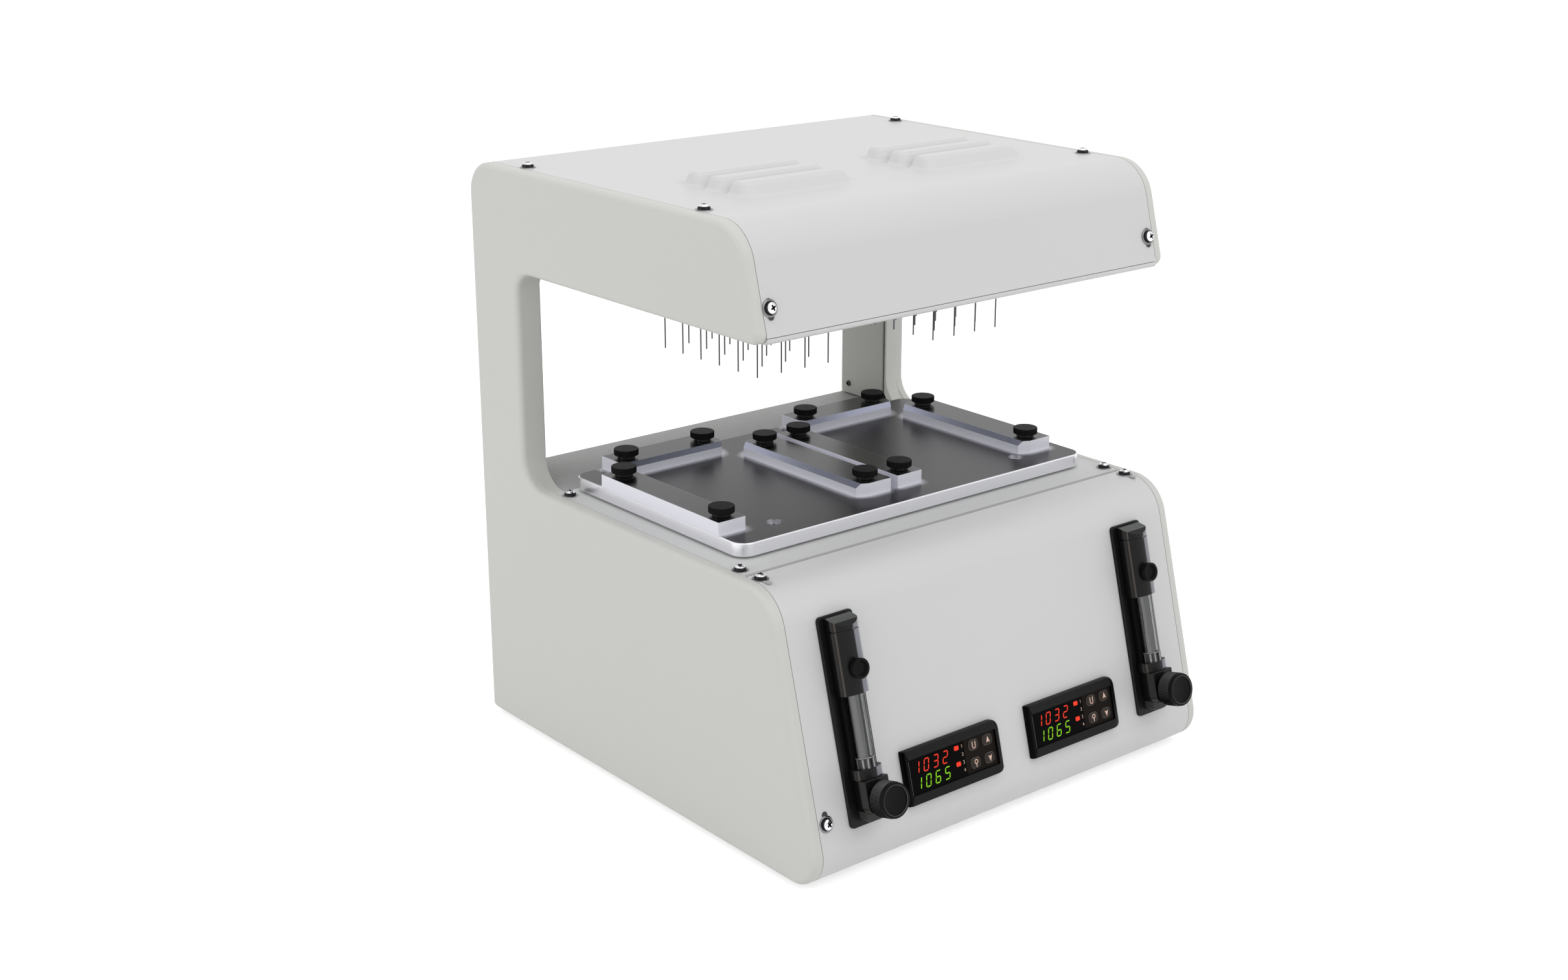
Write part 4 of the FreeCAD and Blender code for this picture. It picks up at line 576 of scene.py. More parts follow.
# %% [markdown]
# ## Thumb screws
#
# Twelve black thumb screws clamp the guides on the tray. Each has a flat knurled head that two
# fingers can turn, and a polished neck that presses on the guide. Each one rides on its own
# screw body and turns with it, and the twelve share a single mesh.

# %% Knurled thumb screws
HEAD_RADIUS, HEAD_HEIGHT, NECK_RADIUS, NECK_HEIGHT = 7.8, 4.0, 5.6, 2.1
THUMB_HEIGHT, KNURL_TEETH = NECK_HEIGHT + HEAD_HEIGHT, 56
grip = knurled(HEAD_RADIUS, 0.28, KNURL_TEETH)
neck_gloss = moulded("neck_gloss", (0.012, 0.012, 0.013), 0.08, 400.0, 0.1, 0.000002, 0.3, gloss=PLAIN_GLOSS)
thumb_mesh = lathe("thumb_screw", [
    (0, 0), (0, NECK_RADIUS - 0.3), (0.3, NECK_RADIUS), (NECK_HEIGHT - 0.2, NECK_RADIUS),
    (NECK_HEIGHT, NECK_RADIUS + 0.2), (NECK_HEIGHT, HEAD_RADIUS - 0.5), (NECK_HEIGHT + 0.3, grip),
    (THUMB_HEIGHT - 0.25, grip), (THUMB_HEIGHT, HEAD_RADIUS - 0.45), (THUMB_HEIGHT, 0),
], KNURL_TEETH * 2, [thumb_black, neck_gloss], finish_at=lambda band, step: int(band < 4))
for node_name in sorted(n for n in nodes if n.startswith("screw_")):
    low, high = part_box(node_name)
    foot = Matrix.Translation(((low.x + high.x) / 2, (low.y + high.y) / 2, high.z - THUMB_HEIGHT * MM))
    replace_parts(put("thumb_" + node_name, thumb_mesh, node_name, foot), node_name)
print("faces of a thumb screw:", len(thumb_mesh.polygons))

# %% [markdown]
# ## Cover screws
#
# The covers are held by domed, chromed screws of about M4 with a cross recess on a thin flange.
# Being mirrors, they show as a bright spot with a dark rim. A plain dome would lose that look,
# so the recess and the flange are real geometry, and each band of the lathe has its own tone:
# painted reflection, darker on the flange and darkest on the lower dome, and painted shade in
# the recess.

# %% Domed screws with a cross recess
def cross(arm, half):
    """Radius of a cross-shaped outline: arms reach arm, and are 2 x half wide."""
    def reach(turn):
        along, over = (max(abs(part), 1e-6) for part in (math.cos(turn), math.sin(turn)))
        return max(min(arm / along, half / over), min(half / along, arm / over))
    return reach


DOME_RADIUS, DOME_HEIGHT, FLANGE_RADIUS, FLANGE = 3.8, 2.9, 5.0, 0.5
RIM_BANDS, DARK_BANDS = range(5), (5, 6, 7, 8, 12, 13)
dome = [(FLANGE + DOME_HEIGHT * math.sin(math.radians(a)), DOME_RADIUS * math.cos(math.radians(a)))
        for a in (0, 12, 24, 36, 48, 58)]
screw_mesh = lathe("cover_screw", [
    (0, 0), (0, FLANGE_RADIUS - 0.1), (0.15, FLANGE_RADIUS), (FLANGE - 0.15, FLANGE_RADIUS - 0.1),
    (FLANGE, FLANGE_RADIUS - 0.4), (FLANGE, DOME_RADIUS + 0.15), *dome,
    (FLANGE + DOME_HEIGHT * 0.93, cross(1.75, 0.55)), (FLANGE + DOME_HEIGHT * 0.45, cross(0.9, 0.35)),
    (FLANGE + DOME_HEIGHT * 0.4, 0),
], 48, [chrome, chrome_painted_dim, chrome_shade], 40.0,
    finish_at=lambda band, step: 1 if band in RIM_BANDS else 2 if band in DARK_BANDS else 0)

# %% Places of the cover screws
TILT = math.radians(15.0)
UP_FACE = Vector((0, math.sin(TILT), math.cos(TILT)))
OUT_OF_FACE = Vector((0, -math.cos(TILT), math.sin(TILT)))
DECK_CORNER = Vector((0, -124.75, 171.0))
LEVEL = Matrix.Identity(4)
SLOPE = Matrix((Vector((1, 0, 0)), UP_FACE, OUT_OF_FACE)).transposed().to_4x4()


def stand(place, face, spin=0.0):
    """Matrix of a place in mm on a level or a sloping face, spun about the face's normal."""
    return Matrix.Translation(Vector(place) * MM) @ face @ Matrix.Rotation(spin, 4, "Z")


def on_face(x, drop, out=0.0, spin=0.0):
    """Matrix of a place on the front, in mm: x across, drop from the deck corner down, out of the face."""
    return stand(DECK_CORNER + Vector((x, 0, 0)) - UP_FACE * drop + OUT_OF_FACE * out, SLOPE, spin)


HEAD_TOP, DECK_TOP = 370.8, 171.0
cover_screws = []
for side, sign in SIDES:
    cover_screws += [
        (side + "_head_rear", stand((sign * 149.6, 119.9, HEAD_TOP), LEVEL, 0.5)),
        (side + "_head_fore", stand((sign * 149.4, -55.0, HEAD_TOP), LEVEL, 1.1)),
        (side + "_head_front", stand((sign * 149.5, -111.7, 326.5), SLOPE, 0.4)),
        (side + "_deck_rear", stand((sign * 149.3, 86.0, DECK_TOP), LEVEL, 0.9)),
        (side + "_deck_fore", stand((sign * 149.9, -85.2, DECK_TOP), LEVEL, 0.2)),
        (side + "_front_top", stand((sign * 149.6, -103.2, DECK_TOP), LEVEL, 0.7)),
        (side + "_front_foot", on_face(sign * 148.55, 134.1, 0.0, 0.6)),
    ]
for label, matrix in cover_screws:
    put("cover_screw_" + label, screw_mesh, "housing", matrix)
print("cover screws:", len(cover_screws))

# %% Screws sunk in the tray
# Painted dim reflection on the screw body, painted shade in its cross recess.
tray_screw_mesh = lathe("tray_screw", [
    (0, 0), (0, 4.3), (0.3, 4.5), (2.4, 4.5), (2.8, 4.2), (2.8, cross(2.0, 0.6)), (1.4, cross(1.1, 0.4)),
    (1.3, 0),
], 48, [chrome_painted_dim, chrome_shade], 35.0, finish_at=lambda band, step: int(band > 4))
TRAY_TOP, SINK, TRAY_MIDDLE, HALF_PITCH = 180.5, 4.6, 10, 64.25
for side, x in (("left", -100.0), ("right", 100.0)):
    for end, y in (("fore", TRAY_MIDDLE - HALF_PITCH), ("rear", TRAY_MIDDLE + HALF_PITCH)):
        put("tray_screw_%s_%s" % (side, end), tray_screw_mesh, "tray",
            stand((x, y, TRAY_TOP - SINK), LEVEL, 0.3 + x * 0.01))
print("tray screws:", 4)

# %% [markdown]
# ## Valve knobs
#
# Each flowmeter has a needle valve below it, with a black moulded knob. Fingers grip its fine
# straight ribs, and the front is a smooth drum with a raised rim and a sunk disc. The ribs are
# too fine for the engineering model, so the whole knob is turned again here with ninety teeth
# and takes the place of the plain one.

# %% Ribbed valve knobs
FLOW_X, METER_DROP, VALVE_DROP, VALVE_FRONT = 119.8, 20.3, 125.8, 17.8
RIB_TEETH, RIB_BAND, HIGHLIGHT_BAND = 90, 5, 13
ribs = knurled(10.5, 0.38, RIB_TEETH)
rib_sheen = moulded("rib_sheen", 0.085, 0.3, bump=0.00001)
painted_highlight_line = moulded("painted_highlight_line", 0.10, 0.3, bump=0.00001, rub=0.0)
# Every other rib flank has a painted sheen, and the rim's inner bevel a painted highlight line.
knob_mesh = lathe("valve_knob", [
    (-7.7, 0), (-7.7, 2.7), (-7.4, 3.0), (0.3, 3.0), (0.3, 9.7), (0.7, ribs), (8.8, ribs), (9.1, 10.1),
    (9.3, 10.0), (9.5, 10.2), (10.5, 10.2), (10.9, 10.0), (11.1, 9.6), (11.1, 8.8), (10.9, 8.5), (10.2, 8.3),
    (10.1, 8.0), (10.1, 0),
], RIB_TEETH * 2, [knob_black, rib_sheen, painted_highlight_line], 40.0,
    finish_at=lambda band, step: 2 if band == HIGHLIGHT_BAND else 1 if band == RIB_BAND and step % 2 else 0)
for side, sign in SIDES:
    knob = put("ribbed_knob_" + side, knob_mesh, "valve_knob_" + side,
               on_face(sign * FLOW_X, VALVE_DROP, VALVE_FRONT))
    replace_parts(knob, "valve_knob_" + side)
print("valve knob faces:", len(knob_mesh.polygons))

# %% [markdown]
# ## Temperature controllers
#
# A panel controller is a thin moulded frame round a flat front: a glossy black window with red
# and green figures, and a matt keypad foil. The frame's ends are cut back at a slope and its
# right corners are rounded. It could be cut from a block, but outlines stacked one above the
# other give the same frame with a clean mesh. The ends and the left border are a darker black
# as painted shade, and a thin pale strip on the left border is a painted highlight.

# %% Outlines, slabs and stacks
def rounded_box(left, right, low, high, radii, steps=6):
    """Points of a box outline; radii: one, or four from the low left corner on, against the clock."""
    radii = radii if isinstance(radii, tuple) else (radii,) * 4
    corners = ((left, low, 180), (right, low, 270), (right, high, 0), (left, high, 90))
    points = []
    for (x, y, start), radius in zip(corners, radii):
        middle_x = x + radius if x == left else x - radius
        middle_y = y + radius if y == low else y - radius
        for step in range(steps + 1):
            turn = math.radians(start + 90 * step / steps)
            points.append((middle_x + radius * math.cos(turn), middle_y + radius * math.sin(turn)))
    return points


def add_rows(shape, layers, finish, closed_ring):
    """Skins a pile of outlines, each (points, height) in mm; a ring also joins the last to the first."""
    rows = [[shape.verts.new((x * MM, y * MM, height * MM)) for x, y in points] for points, height in layers]
    made = [] if closed_ring else [shape.faces.new(rows[-1]), shape.faces.new(rows[0][::-1])]
    for low, high in zip(rows, rows[1:] + rows[:1] if closed_ring else rows[1:]):
        for index in range(len(low)):
            after = (index + 1) % len(low)
            made.append(shape.faces.new((low[index], low[after], high[after], high[index])))
    for face in made:
        face.material_index = finish


def add_stack(shape, layers, finish=0):
    add_rows(shape, layers, finish, False)


def add_slab(shape, points, low, high, finish=0):
    add_stack(shape, [(points, low), (points, high)], finish)

# %% The frame of a controller
CONTROL_PLACES = {"left": -51.5, "right": 49.1}
CONTROL_DROP, FRAME_DEPTH, WINDOW_FLOOR = 125.7, 4.2, 2.7


def both_controllers(name, mesh):
    """Puts a piece on each controller, and gives the two pieces by side."""
    return {side: put("%s_%s" % (name, side), mesh, "housing", on_face(x, CONTROL_DROP))
            for side, x in CONTROL_PLACES.items()}


shape = bmesh.new()
add_stack(shape, [
    (rounded_box(-37.9, 38.7, -16.4, 16.4, (0.8, 3.4, 6.4, 0.8)), 0.0),
    (rounded_box(-37.9, 38.7, -16.4, 16.4, (0.8, 3.4, 6.4, 0.8)), 2.3),
    (rounded_box(-37.5, 37.9, -16.2, 16.2, (0.7, 3.2, 6.2, 0.7)), 3.2),
    (rounded_box(-37.0, 35.0, -16.0, 16.0, (0.6, 2.6, 4.6, 0.6)), FRAME_DEPTH),
    (rounded_box(-35.0, 34.6, -10.8, 10.6, 0.4), FRAME_DEPTH),
    (rounded_box(-34.7, 34.3, -10.4, 10.2, 0.3), WINDOW_FLOOR),
])
add_slab(shape, rounded_box(-35.0, 35.0, -14.0, 14.0, 1, 2), -46.0, 0.0)
shape.normal_update()
# Painted shade: the ends and the left border take the darker black.
for face in shape.faces:
    middle = face.calc_center_median()
    left_border = middle.x < -34.5 * MM and middle.z > FRAME_DEPTH * 0.99 * MM
    if abs(face.normal.x) > 0.3 or left_border:
        face.material_index = 1
# A thin pale strip on the left border: a painted highlight.
add_slab(shape, rounded_box(-35.15, -34.9, -10.3, 10.1, 0.1, 1), FRAME_DEPTH - 0.1, FRAME_DEPTH + 0.04, 2)
bezel_mesh = close_mesh("controller_frame", shape, [case_black, case_end_shade, painted_highlight_line])
for side, bezel in both_controllers("controller_frame", bezel_mesh).items():
    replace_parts(bezel, "controller_" + side)
print("controller frame faces:", len(bezel_mesh.polygons))

# %% Window and keypad foil
WINDOW_TOP, FOIL_TOP, FOIL_EDGE = WINDOW_FLOOR + 0.3, WINDOW_FLOOR + 0.2, 9.4
KEY_PLACES = {1: (16.7, 5.75), 2: (28.1, 5.75), 3: (16.7, -5.15), 4: (28.1, -5.15)}
window_gloss = moulded("window_gloss", 0.0008, 0.16, 900.0, 0.1, 0.000002, 0.0, gloss=0.03)
keypad_foil = moulded("keypad_foil", (0.0105, 0.0080, 0.0065), 0.55, 1400.0, 0.15, gloss=0.05)
key_line = moulded("key_line", (0.20, 0.165, 0.145), 0.5, 900.0, 0.1, 0.00001, 0.0, gloss=PLAIN_GLOSS)
shape = bmesh.new()
add_slab(shape, rounded_box(-34.6, FOIL_EDGE, -10.3, 10.1, 0.3, 2), WINDOW_FLOOR, WINDOW_TOP)
both_controllers("display_window", close_mesh("display_window", shape, [window_gloss]))
shape = bmesh.new()
add_slab(shape, rounded_box(FOIL_EDGE, 34.2, -10.3, 10.1, 0.3, 2), WINDOW_FLOOR, FOIL_TOP)
for x, y in KEY_PLACES.values():
    rim = rounded_box(x - 3.8, x + 3.8, y - 3.15, y + 3.15, 2.4, 4)
    hole = rounded_box(x - 3.58, x + 3.58, y - 2.93, y + 2.93, 2.2, 4)
    low, high = FOIL_TOP - 0.05, FOIL_TOP + 0.2
    add_rows(shape, [(rim, low), (rim, high), (hole, high), (hole, low)], 1, True)
both_controllers("keypad_foil", close_mesh("keypad_foil", shape, [keypad_foil, key_line]))
print("windows and foils:", 2 * len(CONTROL_PLACES))

# %% [markdown]
# The figures are seven-segment digits: little bars of light behind a dark foil, slanted and
# parted by thin gaps. Each lit bar is a flat six-cornered slab with a glowing material, and bars
# that are off stay invisible, as they do behind the foil.

# %% Glowing figures
def glowing(name, colour):
    """A lit segment: the colour wanders a little over the surface, as light behind a foil does."""
    finish, tree, shader = new_finish(name, base_color=(0.01, 0.01, 0.01, 1.0), roughness=0.4,
                                      emission_strength=1.0, specular_ior_level=0.05)
    wander = plus(tree, times(tree, noise_node(tree, 900.0, 2.0), 0.2), 0.9)
    feed(tree, shader.inputs["Emission Color"], scaled(tree, colour, wander))
    return finish


red_light = glowing("red_light", (0.95, 0.045, 0.018))
green_light = glowing("green_light", (0.26, 0.66, 0.015))
LIT = {"0": "abcdef", "1": "bc", "2": "abged", "3": "abgcd", "5": "afgcd", "6": "afgedc"}
DIGIT_WIDTH, DIGIT_HEIGHT, DIGIT_PITCH, FIRST_DIGIT = 4.1, 7.5, 7.5, -29.8
BAR, GAP, SLANT, BAR_TOP = 0.66, 0.18, 0.2, WINDOW_TOP + 0.06


def bar_points(x0, y0, x1, y1):
    """The six corners of one bar from one node of the digit to the next."""
    along = Vector((x1 - x0, y1 - y0)).normalized()
    across = Vector((-along.y, along.x)) * BAR / 2
    start, end = Vector((x0, y0)) + along * GAP, Vector((x1, y1)) - along * GAP
    shoulder = along * BAR / 2
    return [start, start + shoulder - across, end - shoulder - across, end, end - shoulder + across,
            start + shoulder + across]


def add_digit(shape, figure, left, middle_y, finish):
    """One slanted digit whose upper left corner stands at left."""
    wide, tall = DIGIT_WIDTH - BAR, (DIGIT_HEIGHT - BAR) / 2
    bars = {
        "a": (0, tall, wide, tall), "g": (0, 0, wide, 0), "d": (0, -tall, wide, -tall),
        "f": (0, 0, 0, tall), "b": (wide, 0, wide, tall), "e": (0, -tall, 0, 0), "c": (wide, -tall, wide, 0),
    }
    for bar in LIT[figure]:
        points = [(left + BAR / 2 + point.x + (point.y - tall) * SLANT, middle_y + point.y)
                  for point in bar_points(*bars[bar])]
        add_slab(shape, points, WINDOW_TOP, BAR_TOP, finish)


shape = bmesh.new()
for row, (figures, middle_y) in enumerate((("1032", 4.65), ("1065", -4.85))):
    for place, figure in enumerate(figures):
        add_digit(shape, figure, FIRST_DIGIT + DIGIT_PITCH * place, middle_y, row)
for middle_y in (7.3, -2.3):
    add_slab(shape, rounded_box(1.65, 5.15, middle_y - 1.3, middle_y + 1.3, 0.6, 4), WINDOW_TOP, BAR_TOP)
figure_mesh = close_mesh("figures", shape, [red_light, green_light])
both_controllers("figures", figure_mesh)
print("lit figures:", len(figure_mesh.polygons), "faces")


# %% Small numbers and key signs
def add_line(shape, points, width, low, high):
    """Joins points with short flat strokes of one width."""
    for (x0, y0), (x1, y1) in zip(points, points[1:]):
        along = Vector((x1 - x0, y1 - y0)).normalized() * width / 2
        across = Vector((-along.y, along.x))
        start, end = Vector((x0, y0)) - along * 0.6, Vector((x1, y1)) + along * 0.6
        corners = (start - across, end - across, end + across, start + across)
        add_slab(shape, [tuple(corner) for corner in corners], low, high)


sign_ink = moulded("sign_ink", (0.80, 0.55, 0.43), 0.5, 900.0, 0.1, 0.00001, 0.0, gloss=PLAIN_GLOSS)
SMALL_FIGURES = {
    "1": [(-0.3, 0.6), (0.1, 0.9), (0.1, -0.9)],
    "2": [(-0.45, 0.5), (-0.1, 0.9), (0.4, 0.6), (0.3, 0.1), (-0.5, -0.9), (0.5, -0.9)],
    "3": [(-0.45, 0.9), (0.45, 0.9), (0.0, 0.15), (0.5, -0.3), (0.2, -0.9), (-0.45, -0.75)],
    "4": [(0.25, -0.9), (0.25, 0.9), (-0.5, -0.35), (0.55, -0.35)],
}
shape = bmesh.new()
for figure, middle_y in zip("1234", (7.4, 2.7, -2.2, -6.8)):
    stroke = [(7.65 + x, middle_y + y) for x, y in SMALL_FIGURES[figure]]
    add_line(shape, stroke, 0.22, WINDOW_TOP, WINDOW_TOP + 0.04)
both_controllers("output_numbers", close_mesh("output_numbers", shape, [sign_ink]))

# %% Signs on the keys
KEY_TOP = 3.6
UP_ARROW = [(0.0, 2.2), (-1.5, -1.7), (-0.55, -1.0), (0.0, -1.15), (0.55, -1.0), (1.5, -1.7)]


def arc(start, end, middle_y, radius=1.15):
    """Points of an arc about the middle of a key, in steps of 30 degrees."""
    turns = [math.radians(angle) for angle in range(start, end + 1, 30)]
    return [(radius * math.cos(turn), middle_y + radius * math.sin(turn)) for turn in turns]


sign_strokes = {
    1: [[(-1.15, 1.9)] + arc(180, 360, -0.8) + [(1.15, 1.9)]],
    3: [arc(0, 360, 0.8), [(0.0, -0.45), (0.0, -2.1)]],
}
for key, (key_x, key_y) in KEY_PLACES.items():
    shape = bmesh.new()
    for stroke in sign_strokes.get(key, []):
        add_line(shape, stroke, 0.6, KEY_TOP, KEY_TOP + 0.05)
    if key not in sign_strokes:
        flip = 1 if key == 2 else -1
        add_slab(shape, [(x * flip, y * flip) for x, y in UP_ARROW], KEY_TOP, KEY_TOP + 0.05)
    sign_mesh = close_mesh("key_sign_%d" % key, shape, [sign_ink])
    for side, middle in CONTROL_PLACES.items():
        put("key_sign_%s_%d" % (side, key), sign_mesh, "key_%s_%d" % (side, key),
            on_face(middle + key_x, CONTROL_DROP - key_y))
print("key signs:", len(KEY_PLACES) * len(CONTROL_PLACES))

# %% [markdown]
# ## Slots under the cover screws
#
# The covers are hung on half-driven screws and then pushed home, so some screws stand in slots
# that show beside the flange. A slot is a very thin dark slab with round ends here, and only the
# part that the screw leaves open is seen.

# %% Dark slot ends
slot_shade = moulded("slot_shade", (0.035, 0.035, 0.034), 0.6, 700.0, 0.4, rub=0.0, gloss=PLAIN_GLOSS)
seam_shade = painted_steel("seam_shade", (0.46, 0.465, 0.46), 0.6, speckle=0.1, pebble=500.0, rub=0.0)
SLOTS = {  # low end, high end, the screw's spin, finish
    "front_foot": (-1.0, 7.4, 0.6, slot_shade),
    "head_front": (-6.6, 5.4, 0.4, slot_shade),
    "front_top": (-9.4, 1.0, 0.7, seam_shade),
}
for label, matrix in cover_screws:
    kind = label.split("_", 1)[1]
    if kind in SLOTS:
        low, high, spin, finish = SLOTS[kind]
        shape = bmesh.new()
        add_slab(shape, rounded_box(-2.0, 2.0, low, high, 1.99), 0.0, 0.05)
        put("cover_slot_" + label, close_mesh("cover_slot", shape, [finish]), "housing",
            matrix @ Matrix.Rotation(-spin, 4, "Z"))
print("slots:", 2 * len(SLOTS))

# %% [markdown]
# ## The seam in front of the deck
#
# The front cover's bent edge meets the deck plate in a shallow step, which shows as a soft grey
# line. A very thin painted strip over the joint gives it the same width and tone.

# %% The seam in front of the deck
SEAM_BACK, SEAM_FRONT = 2.0, 0.5
low, high = (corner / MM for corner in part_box("deck_plate"))
shape = bmesh.new()
strip = rounded_box(low.x + 1.0, high.x - 1.0, low.y - SEAM_FRONT, low.y + SEAM_BACK, 0.3, 2)
add_slab(shape, strip, 0.0, 0.06)
put("deck_seam", close_mesh("deck_seam", shape, [seam_shade]), "housing",
    stand((0, 0, high.z), LEVEL))
print("deck seam at y", round(low.y, 2), "z", round(high.z, 2))

# %% [markdown]
# ## Seams round the column covers
#
# Inside each column a small cover lies on the panel with a narrow joint all round, and a small
# button screw holds each end. A gap cut in the panel would cost a boolean; a thin dark sheet
# under the cover gives the same line from every side.

# %% Joint lines and button screws
button_mesh = lathe("button_screw", [
    (0, 0), (0, 2.1), (0.3, 2.2), (0.9, 1.9), (1.2, 1.3), (1.2, cross(0.95, 0.95)), (0.5, 0.9), (0.5, 0),
], 24, [slot_shade, chrome_shade], 35.0, finish_at=lambda band, step: int(band > 4))
JOINT, COVER_THICK, BUTTON_Y = 0.55, 2.0, 157.8
low, high = (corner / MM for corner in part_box("column_covers"))
for side, sign in SIDES:
    facing_in = Matrix(((0, 0, -sign), (-sign, 0, 0), (0, 1, 0))).to_4x4()
    rear, fore = sorted((-sign * low.y, -sign * high.y))
    shape = bmesh.new()
    add_slab(shape, rounded_box(rear - JOINT, fore + JOINT, low.z - JOINT, high.z + JOINT, 4.5), -0.2, 0.0)
    bmesh.ops.recalc_face_normals(shape, faces=shape.faces[:])
    put("column_joint_" + side, close_mesh("column_joint", shape, [slot_shade]), "housing",
        stand((sign * (high.x - 0.25), 0, 0), facing_in))
    for label, z in (("low", 176.9), ("high", 299.6)):
        put("button_screw_%s_%s" % (side, label), button_mesh, "housing",
            stand((sign * (high.x - COVER_THICK), BUTTON_Y, z), facing_in))
print("column joints:", 2)

# %% [markdown]
# ## Flowmeters
#
# A panel flowmeter is a black body on a back plate: a cap, a shroud, a clear tube with a float,
# a collar and the valve body. All but the valve share one section, flat at the back and sides
# with a shallow arc in front, and each length is pushed out along the slope from that outline.
# Polished black plastic mirrors the room in long bands, so the finish gets painted reflections:
# paler bands by the direction that the skin faces.

# %% Bands on polished plastic
def banded_plastic(name, colour, bands, roughness):
    """Polished plastic with painted reflections: paler wherever the x of the face's direction lies in a band
    (low, high, colour).
    """
    finish, tree, shader = new_finish(name, specular_ior_level=0.2)
    skin = use_group(tree, metal_group, Colour=colour, Grain_Scale=500.0, Roughness=roughness, Variation=0.2)
    edge = use_group(tree, edge_group, Width=0.0003, Strength=0.5)
    tone = skin["Colour"]
    for low, high, band_colour in bands:
        tone = mix_colour(tree, facing_band(tree, low, high), tone, band_colour)
    connect(tree, shader, mix_colour(tree, edge["Mask"], tone, (0.10, 0.10, 0.10)), skin, 0.00001, 0.3)
    return finish


# The bands are painted reflections of the room, on the flanks and the arced front.
meter_gloss = banded_plastic("meter_gloss", (0.006, 0.006, 0.006), [
    (-0.90, -0.73, (0.072, 0.062, 0.055)),
    (-1.10, -0.97, (0.030, 0.030, 0.029)),
    (0.14, 0.45, (0.23, 0.23, 0.265)),
    (0.45, 0.90, (0.40, 0.405, 0.44)),
], 0.3)
meter_shade = moulded("meter_shade", 0.0025, 0.4, gloss=0.1)
foot_grey = moulded("foot_grey", 0.05, 0.4)
roof_grey = moulded("roof_grey", (0.085, 0.092, 0.086), 0.4, 900.0, 0.1, 0.00001, 0.1)

# %% Outlines of a flowmeter
METER_HALF, METER_SHOULDER, METER_FRONT = 9.3, 8.8, 13.6
ROOF_START, SHADE_END, ROOF_END = 4.5, 7.1, 11.0


def d_outline(half, shoulder, front, steps=12):
    """(x, out) points in mm: back corners, right side, an elliptic front from right to left, left side."""
    rise = front - shoulder
    turns = [90 - 180 * step / (2 * steps) for step in range(2 * steps + 1)]
    bend = math.degrees(math.acos((ROOF_END - shoulder) / rise)) if front > ROOF_END else 45.0
    turns = sorted(set(turns + [bend, -bend]), reverse=True)
    bow = [(half * math.sin(math.radians(turn)), shoulder + rise * math.cos(math.radians(turn)))
           for turn in turns]
    sides = [1.9, ROOF_START, SHADE_END]
    return [(half, out) for out in sides] + bow + [(-half, out) for out in reversed(sides)]


def add_length(shape, outline, top, bottom, roof=False):
    """Pushes the outline out down the slope; a roof falls gently to its front edge and then steeply."""
    def fall(out):
        gentle = 0.4 * (min(max(out, ROOF_START), ROOF_END) - ROOF_START)
        return gentle + 1.05 * max(0.0, out - ROOF_END) if roof else 0.0

    head = [shape.verts.new((x * MM, -(top + fall(out)) * MM, out * MM)) for x, out in outline]
    foot = [shape.verts.new((x * MM, -bottom * MM, out * MM)) for x, out in outline]
    outs = [round(out, 3) for x, out in outline]
    front = [head[index] for index, out in enumerate(outs) if out >= ROOF_END] if roof else []
    back = [vertex for index, vertex in enumerate(head) if not front or outs[index] <= ROOF_END]
    middle = [vertex for vertex in back if vertex not in (back[0], back[-1])]
    shape.faces.new((back[0], back[1], back[-2], back[-1]))
    shape.faces.new(middle).material_index = 4 if roof else 0
    if front:
        shape.faces.new(front)
    shape.faces.new(foot)
    for index in range(len(outline)):
        after = (index + 1) % len(outline)
        face = shape.faces.new((head[index], head[after], foot[after], foot[index]))
        face.material_index = 1 if max(outline[index][1], outline[after][1]) < SHADE_END + 0.1 else 0

# %% The body of a flowmeter
shape = bmesh.new()
plate = [(12.9, 2.6, 0.0), (12.9, 2.6, 1.6), (12.5, 2.2, 2.0)]
add_stack(shape, [(rounded_box(-half, half, -121.7 + 12.9 - half, half - 12.9, r), height)
                  for half, r, height in plate], 2)
body_outline = d_outline(METER_HALF, METER_SHOULDER, METER_FRONT)
neck_outline = d_outline(METER_HALF - 0.7, METER_SHOULDER - 0.4, METER_FRONT - 0.9)
add_length(shape, body_outline, 1.2, 8.2, roof=True)
add_length(shape, neck_outline, 8.0, 9.6)
add_length(shape, body_outline, 9.4, 45.5)
add_slab(shape, rounded_box(-8.4, 8.4, -90.0, -44.0, 0.3, 1), 1.9, 6.0, 1)
add_length(shape, body_outline, 88.0, 93.4)
add_length(shape, neck_outline, 93.2, 94.2)
add_slab(shape, rounded_box(-8.0, 8.0, -113.5, -94.0, (4.5, 4.5, 0.4, 0.4), 8), 1.9, 9.5, 1)
valve_outline = rounded_box(-8.7, 8.7, -114.0, -94.0, (5.5, 5.5, 0.4, 0.4), 8)
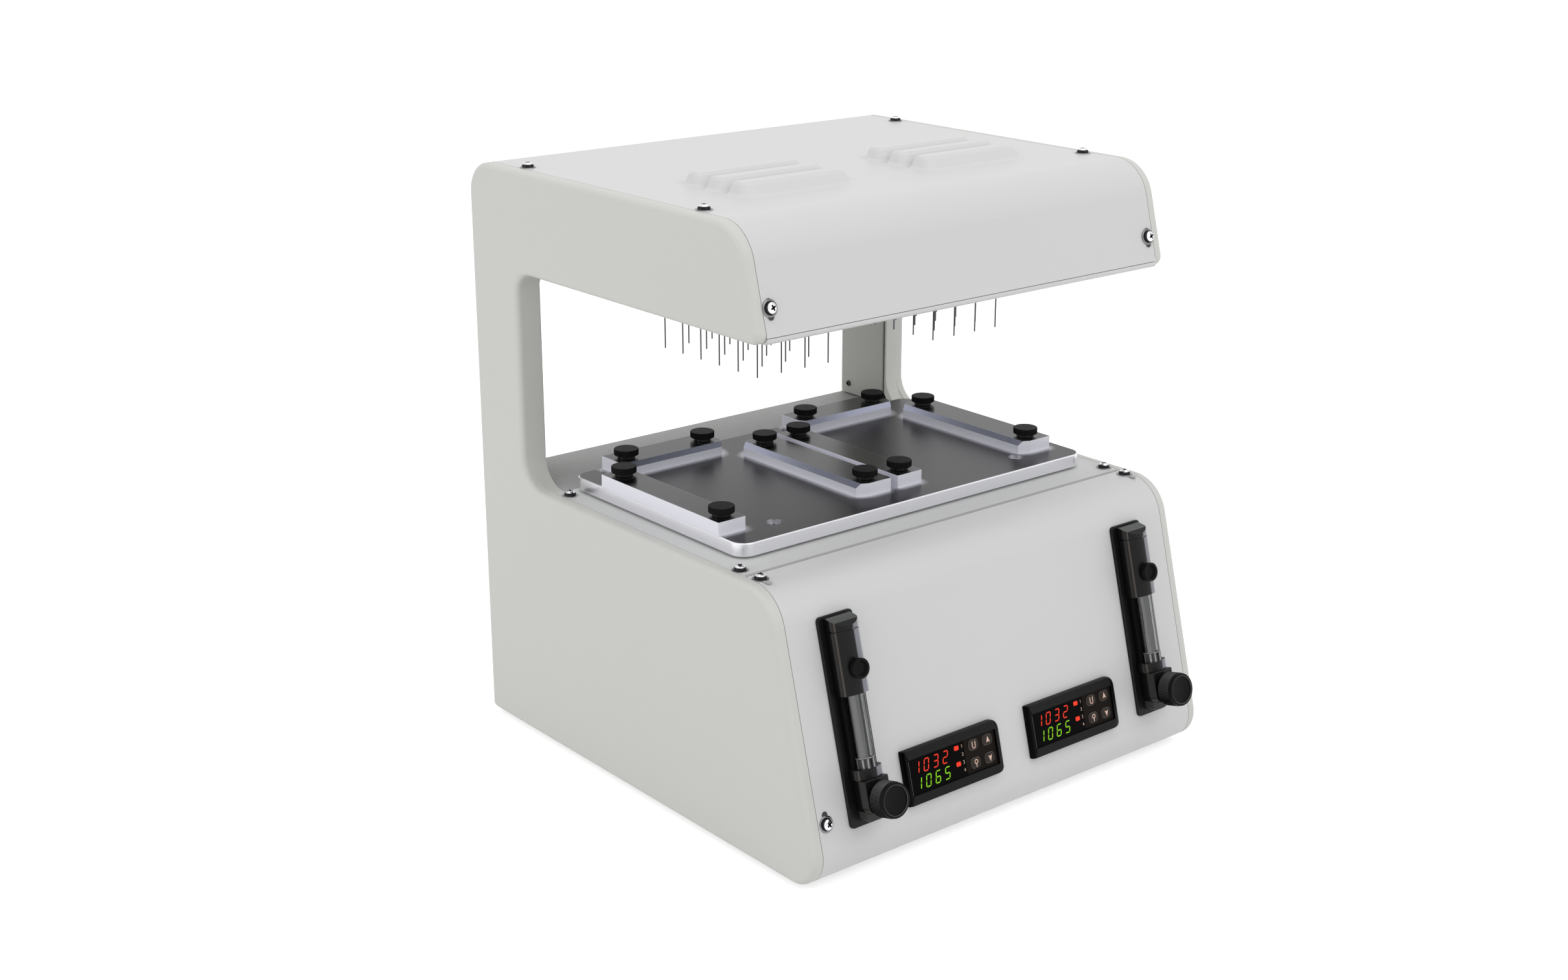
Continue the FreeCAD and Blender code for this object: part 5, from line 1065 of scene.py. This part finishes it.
add_stack(shape, [(valve_outline, 9.4), (valve_outline, 14.6),
                  (rounded_box(-8.3, 8.3, -113.6, -94.4, (5.1, 5.1, 0.4, 0.4), 8), 15.0)], 0)
add_slab(shape, rounded_box(-6.0, 6.0, -111.5, -99.5, 5.99, 6), 14.9, 17.9, 1)
add_slab(shape, rounded_box(-6.0, 6.0, -119.0, -113.0, (2.4, 2.4, 0.2, 0.2), 4), 1.9, 9.0, 3)
bmesh.ops.recalc_face_normals(shape, faces=shape.faces[:])
meter_finishes = [meter_gloss, meter_shade, meter_black, foot_grey, roof_grey]
meter_mesh = close_mesh("flowmeter_body", shape, meter_finishes, 22.0)
for side, sign in SIDES:
    meter = put("flowmeter_body_" + side, meter_mesh, "housing",
                on_face(sign * FLOW_X, METER_DROP))
    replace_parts(meter, "flowmeter_" + side)
print("flowmeter body faces:", len(meter_mesh.polygons))

# %% [markdown]
# ## Seats of the sight tubes
#
# Each sight tube stands in a turned seat. Light caught in the clear plastic shows as a bright
# step and a few upright bars on it, so single faces of the lathe get the pale finish.

# %% The seat of a sight tube
facet_light = worked("facet_light", (0.30, 0.30, 0.31), 0.15, 400.0, 0.8, 0.3, 0.00001, 0.0)
TUBE_RADIUS, TUBE_AXIS, SEAT_BOTTOM = 5.75, 7.8, 88.2


def seat_finish(band, step):
    """Pale on the step and on a few bars of the wall, dark on others, grey elsewhere."""
    if band == 4 or (band == 2 and step % 7 in (0, 3)):
        return 1
    return 0 if step % 5 == 1 else 2


seat_mesh = lathe("tube_seat", [
    (0, 0), (0, TUBE_RADIUS - 0.4), (0.2, TUBE_RADIUS), (5.6, TUBE_RADIUS), (6.0, TUBE_RADIUS + 0.25),
    (6.35, TUBE_RADIUS + 0.05), (6.4, 4.6), (6.4, 0),
], 36, [meter_shade, facet_light, foot_grey], 30.0, finish_at=seat_finish)
for side, sign in SIDES:
    put("tube_seat_" + side, seat_mesh, "housing",
        on_face(sign * FLOW_X, METER_DROP + SEAT_BOTTOM, TUBE_AXIS) @ Matrix.Rotation(-math.pi / 2, 4, "X"))
print("tube seats:", len(SIDES))
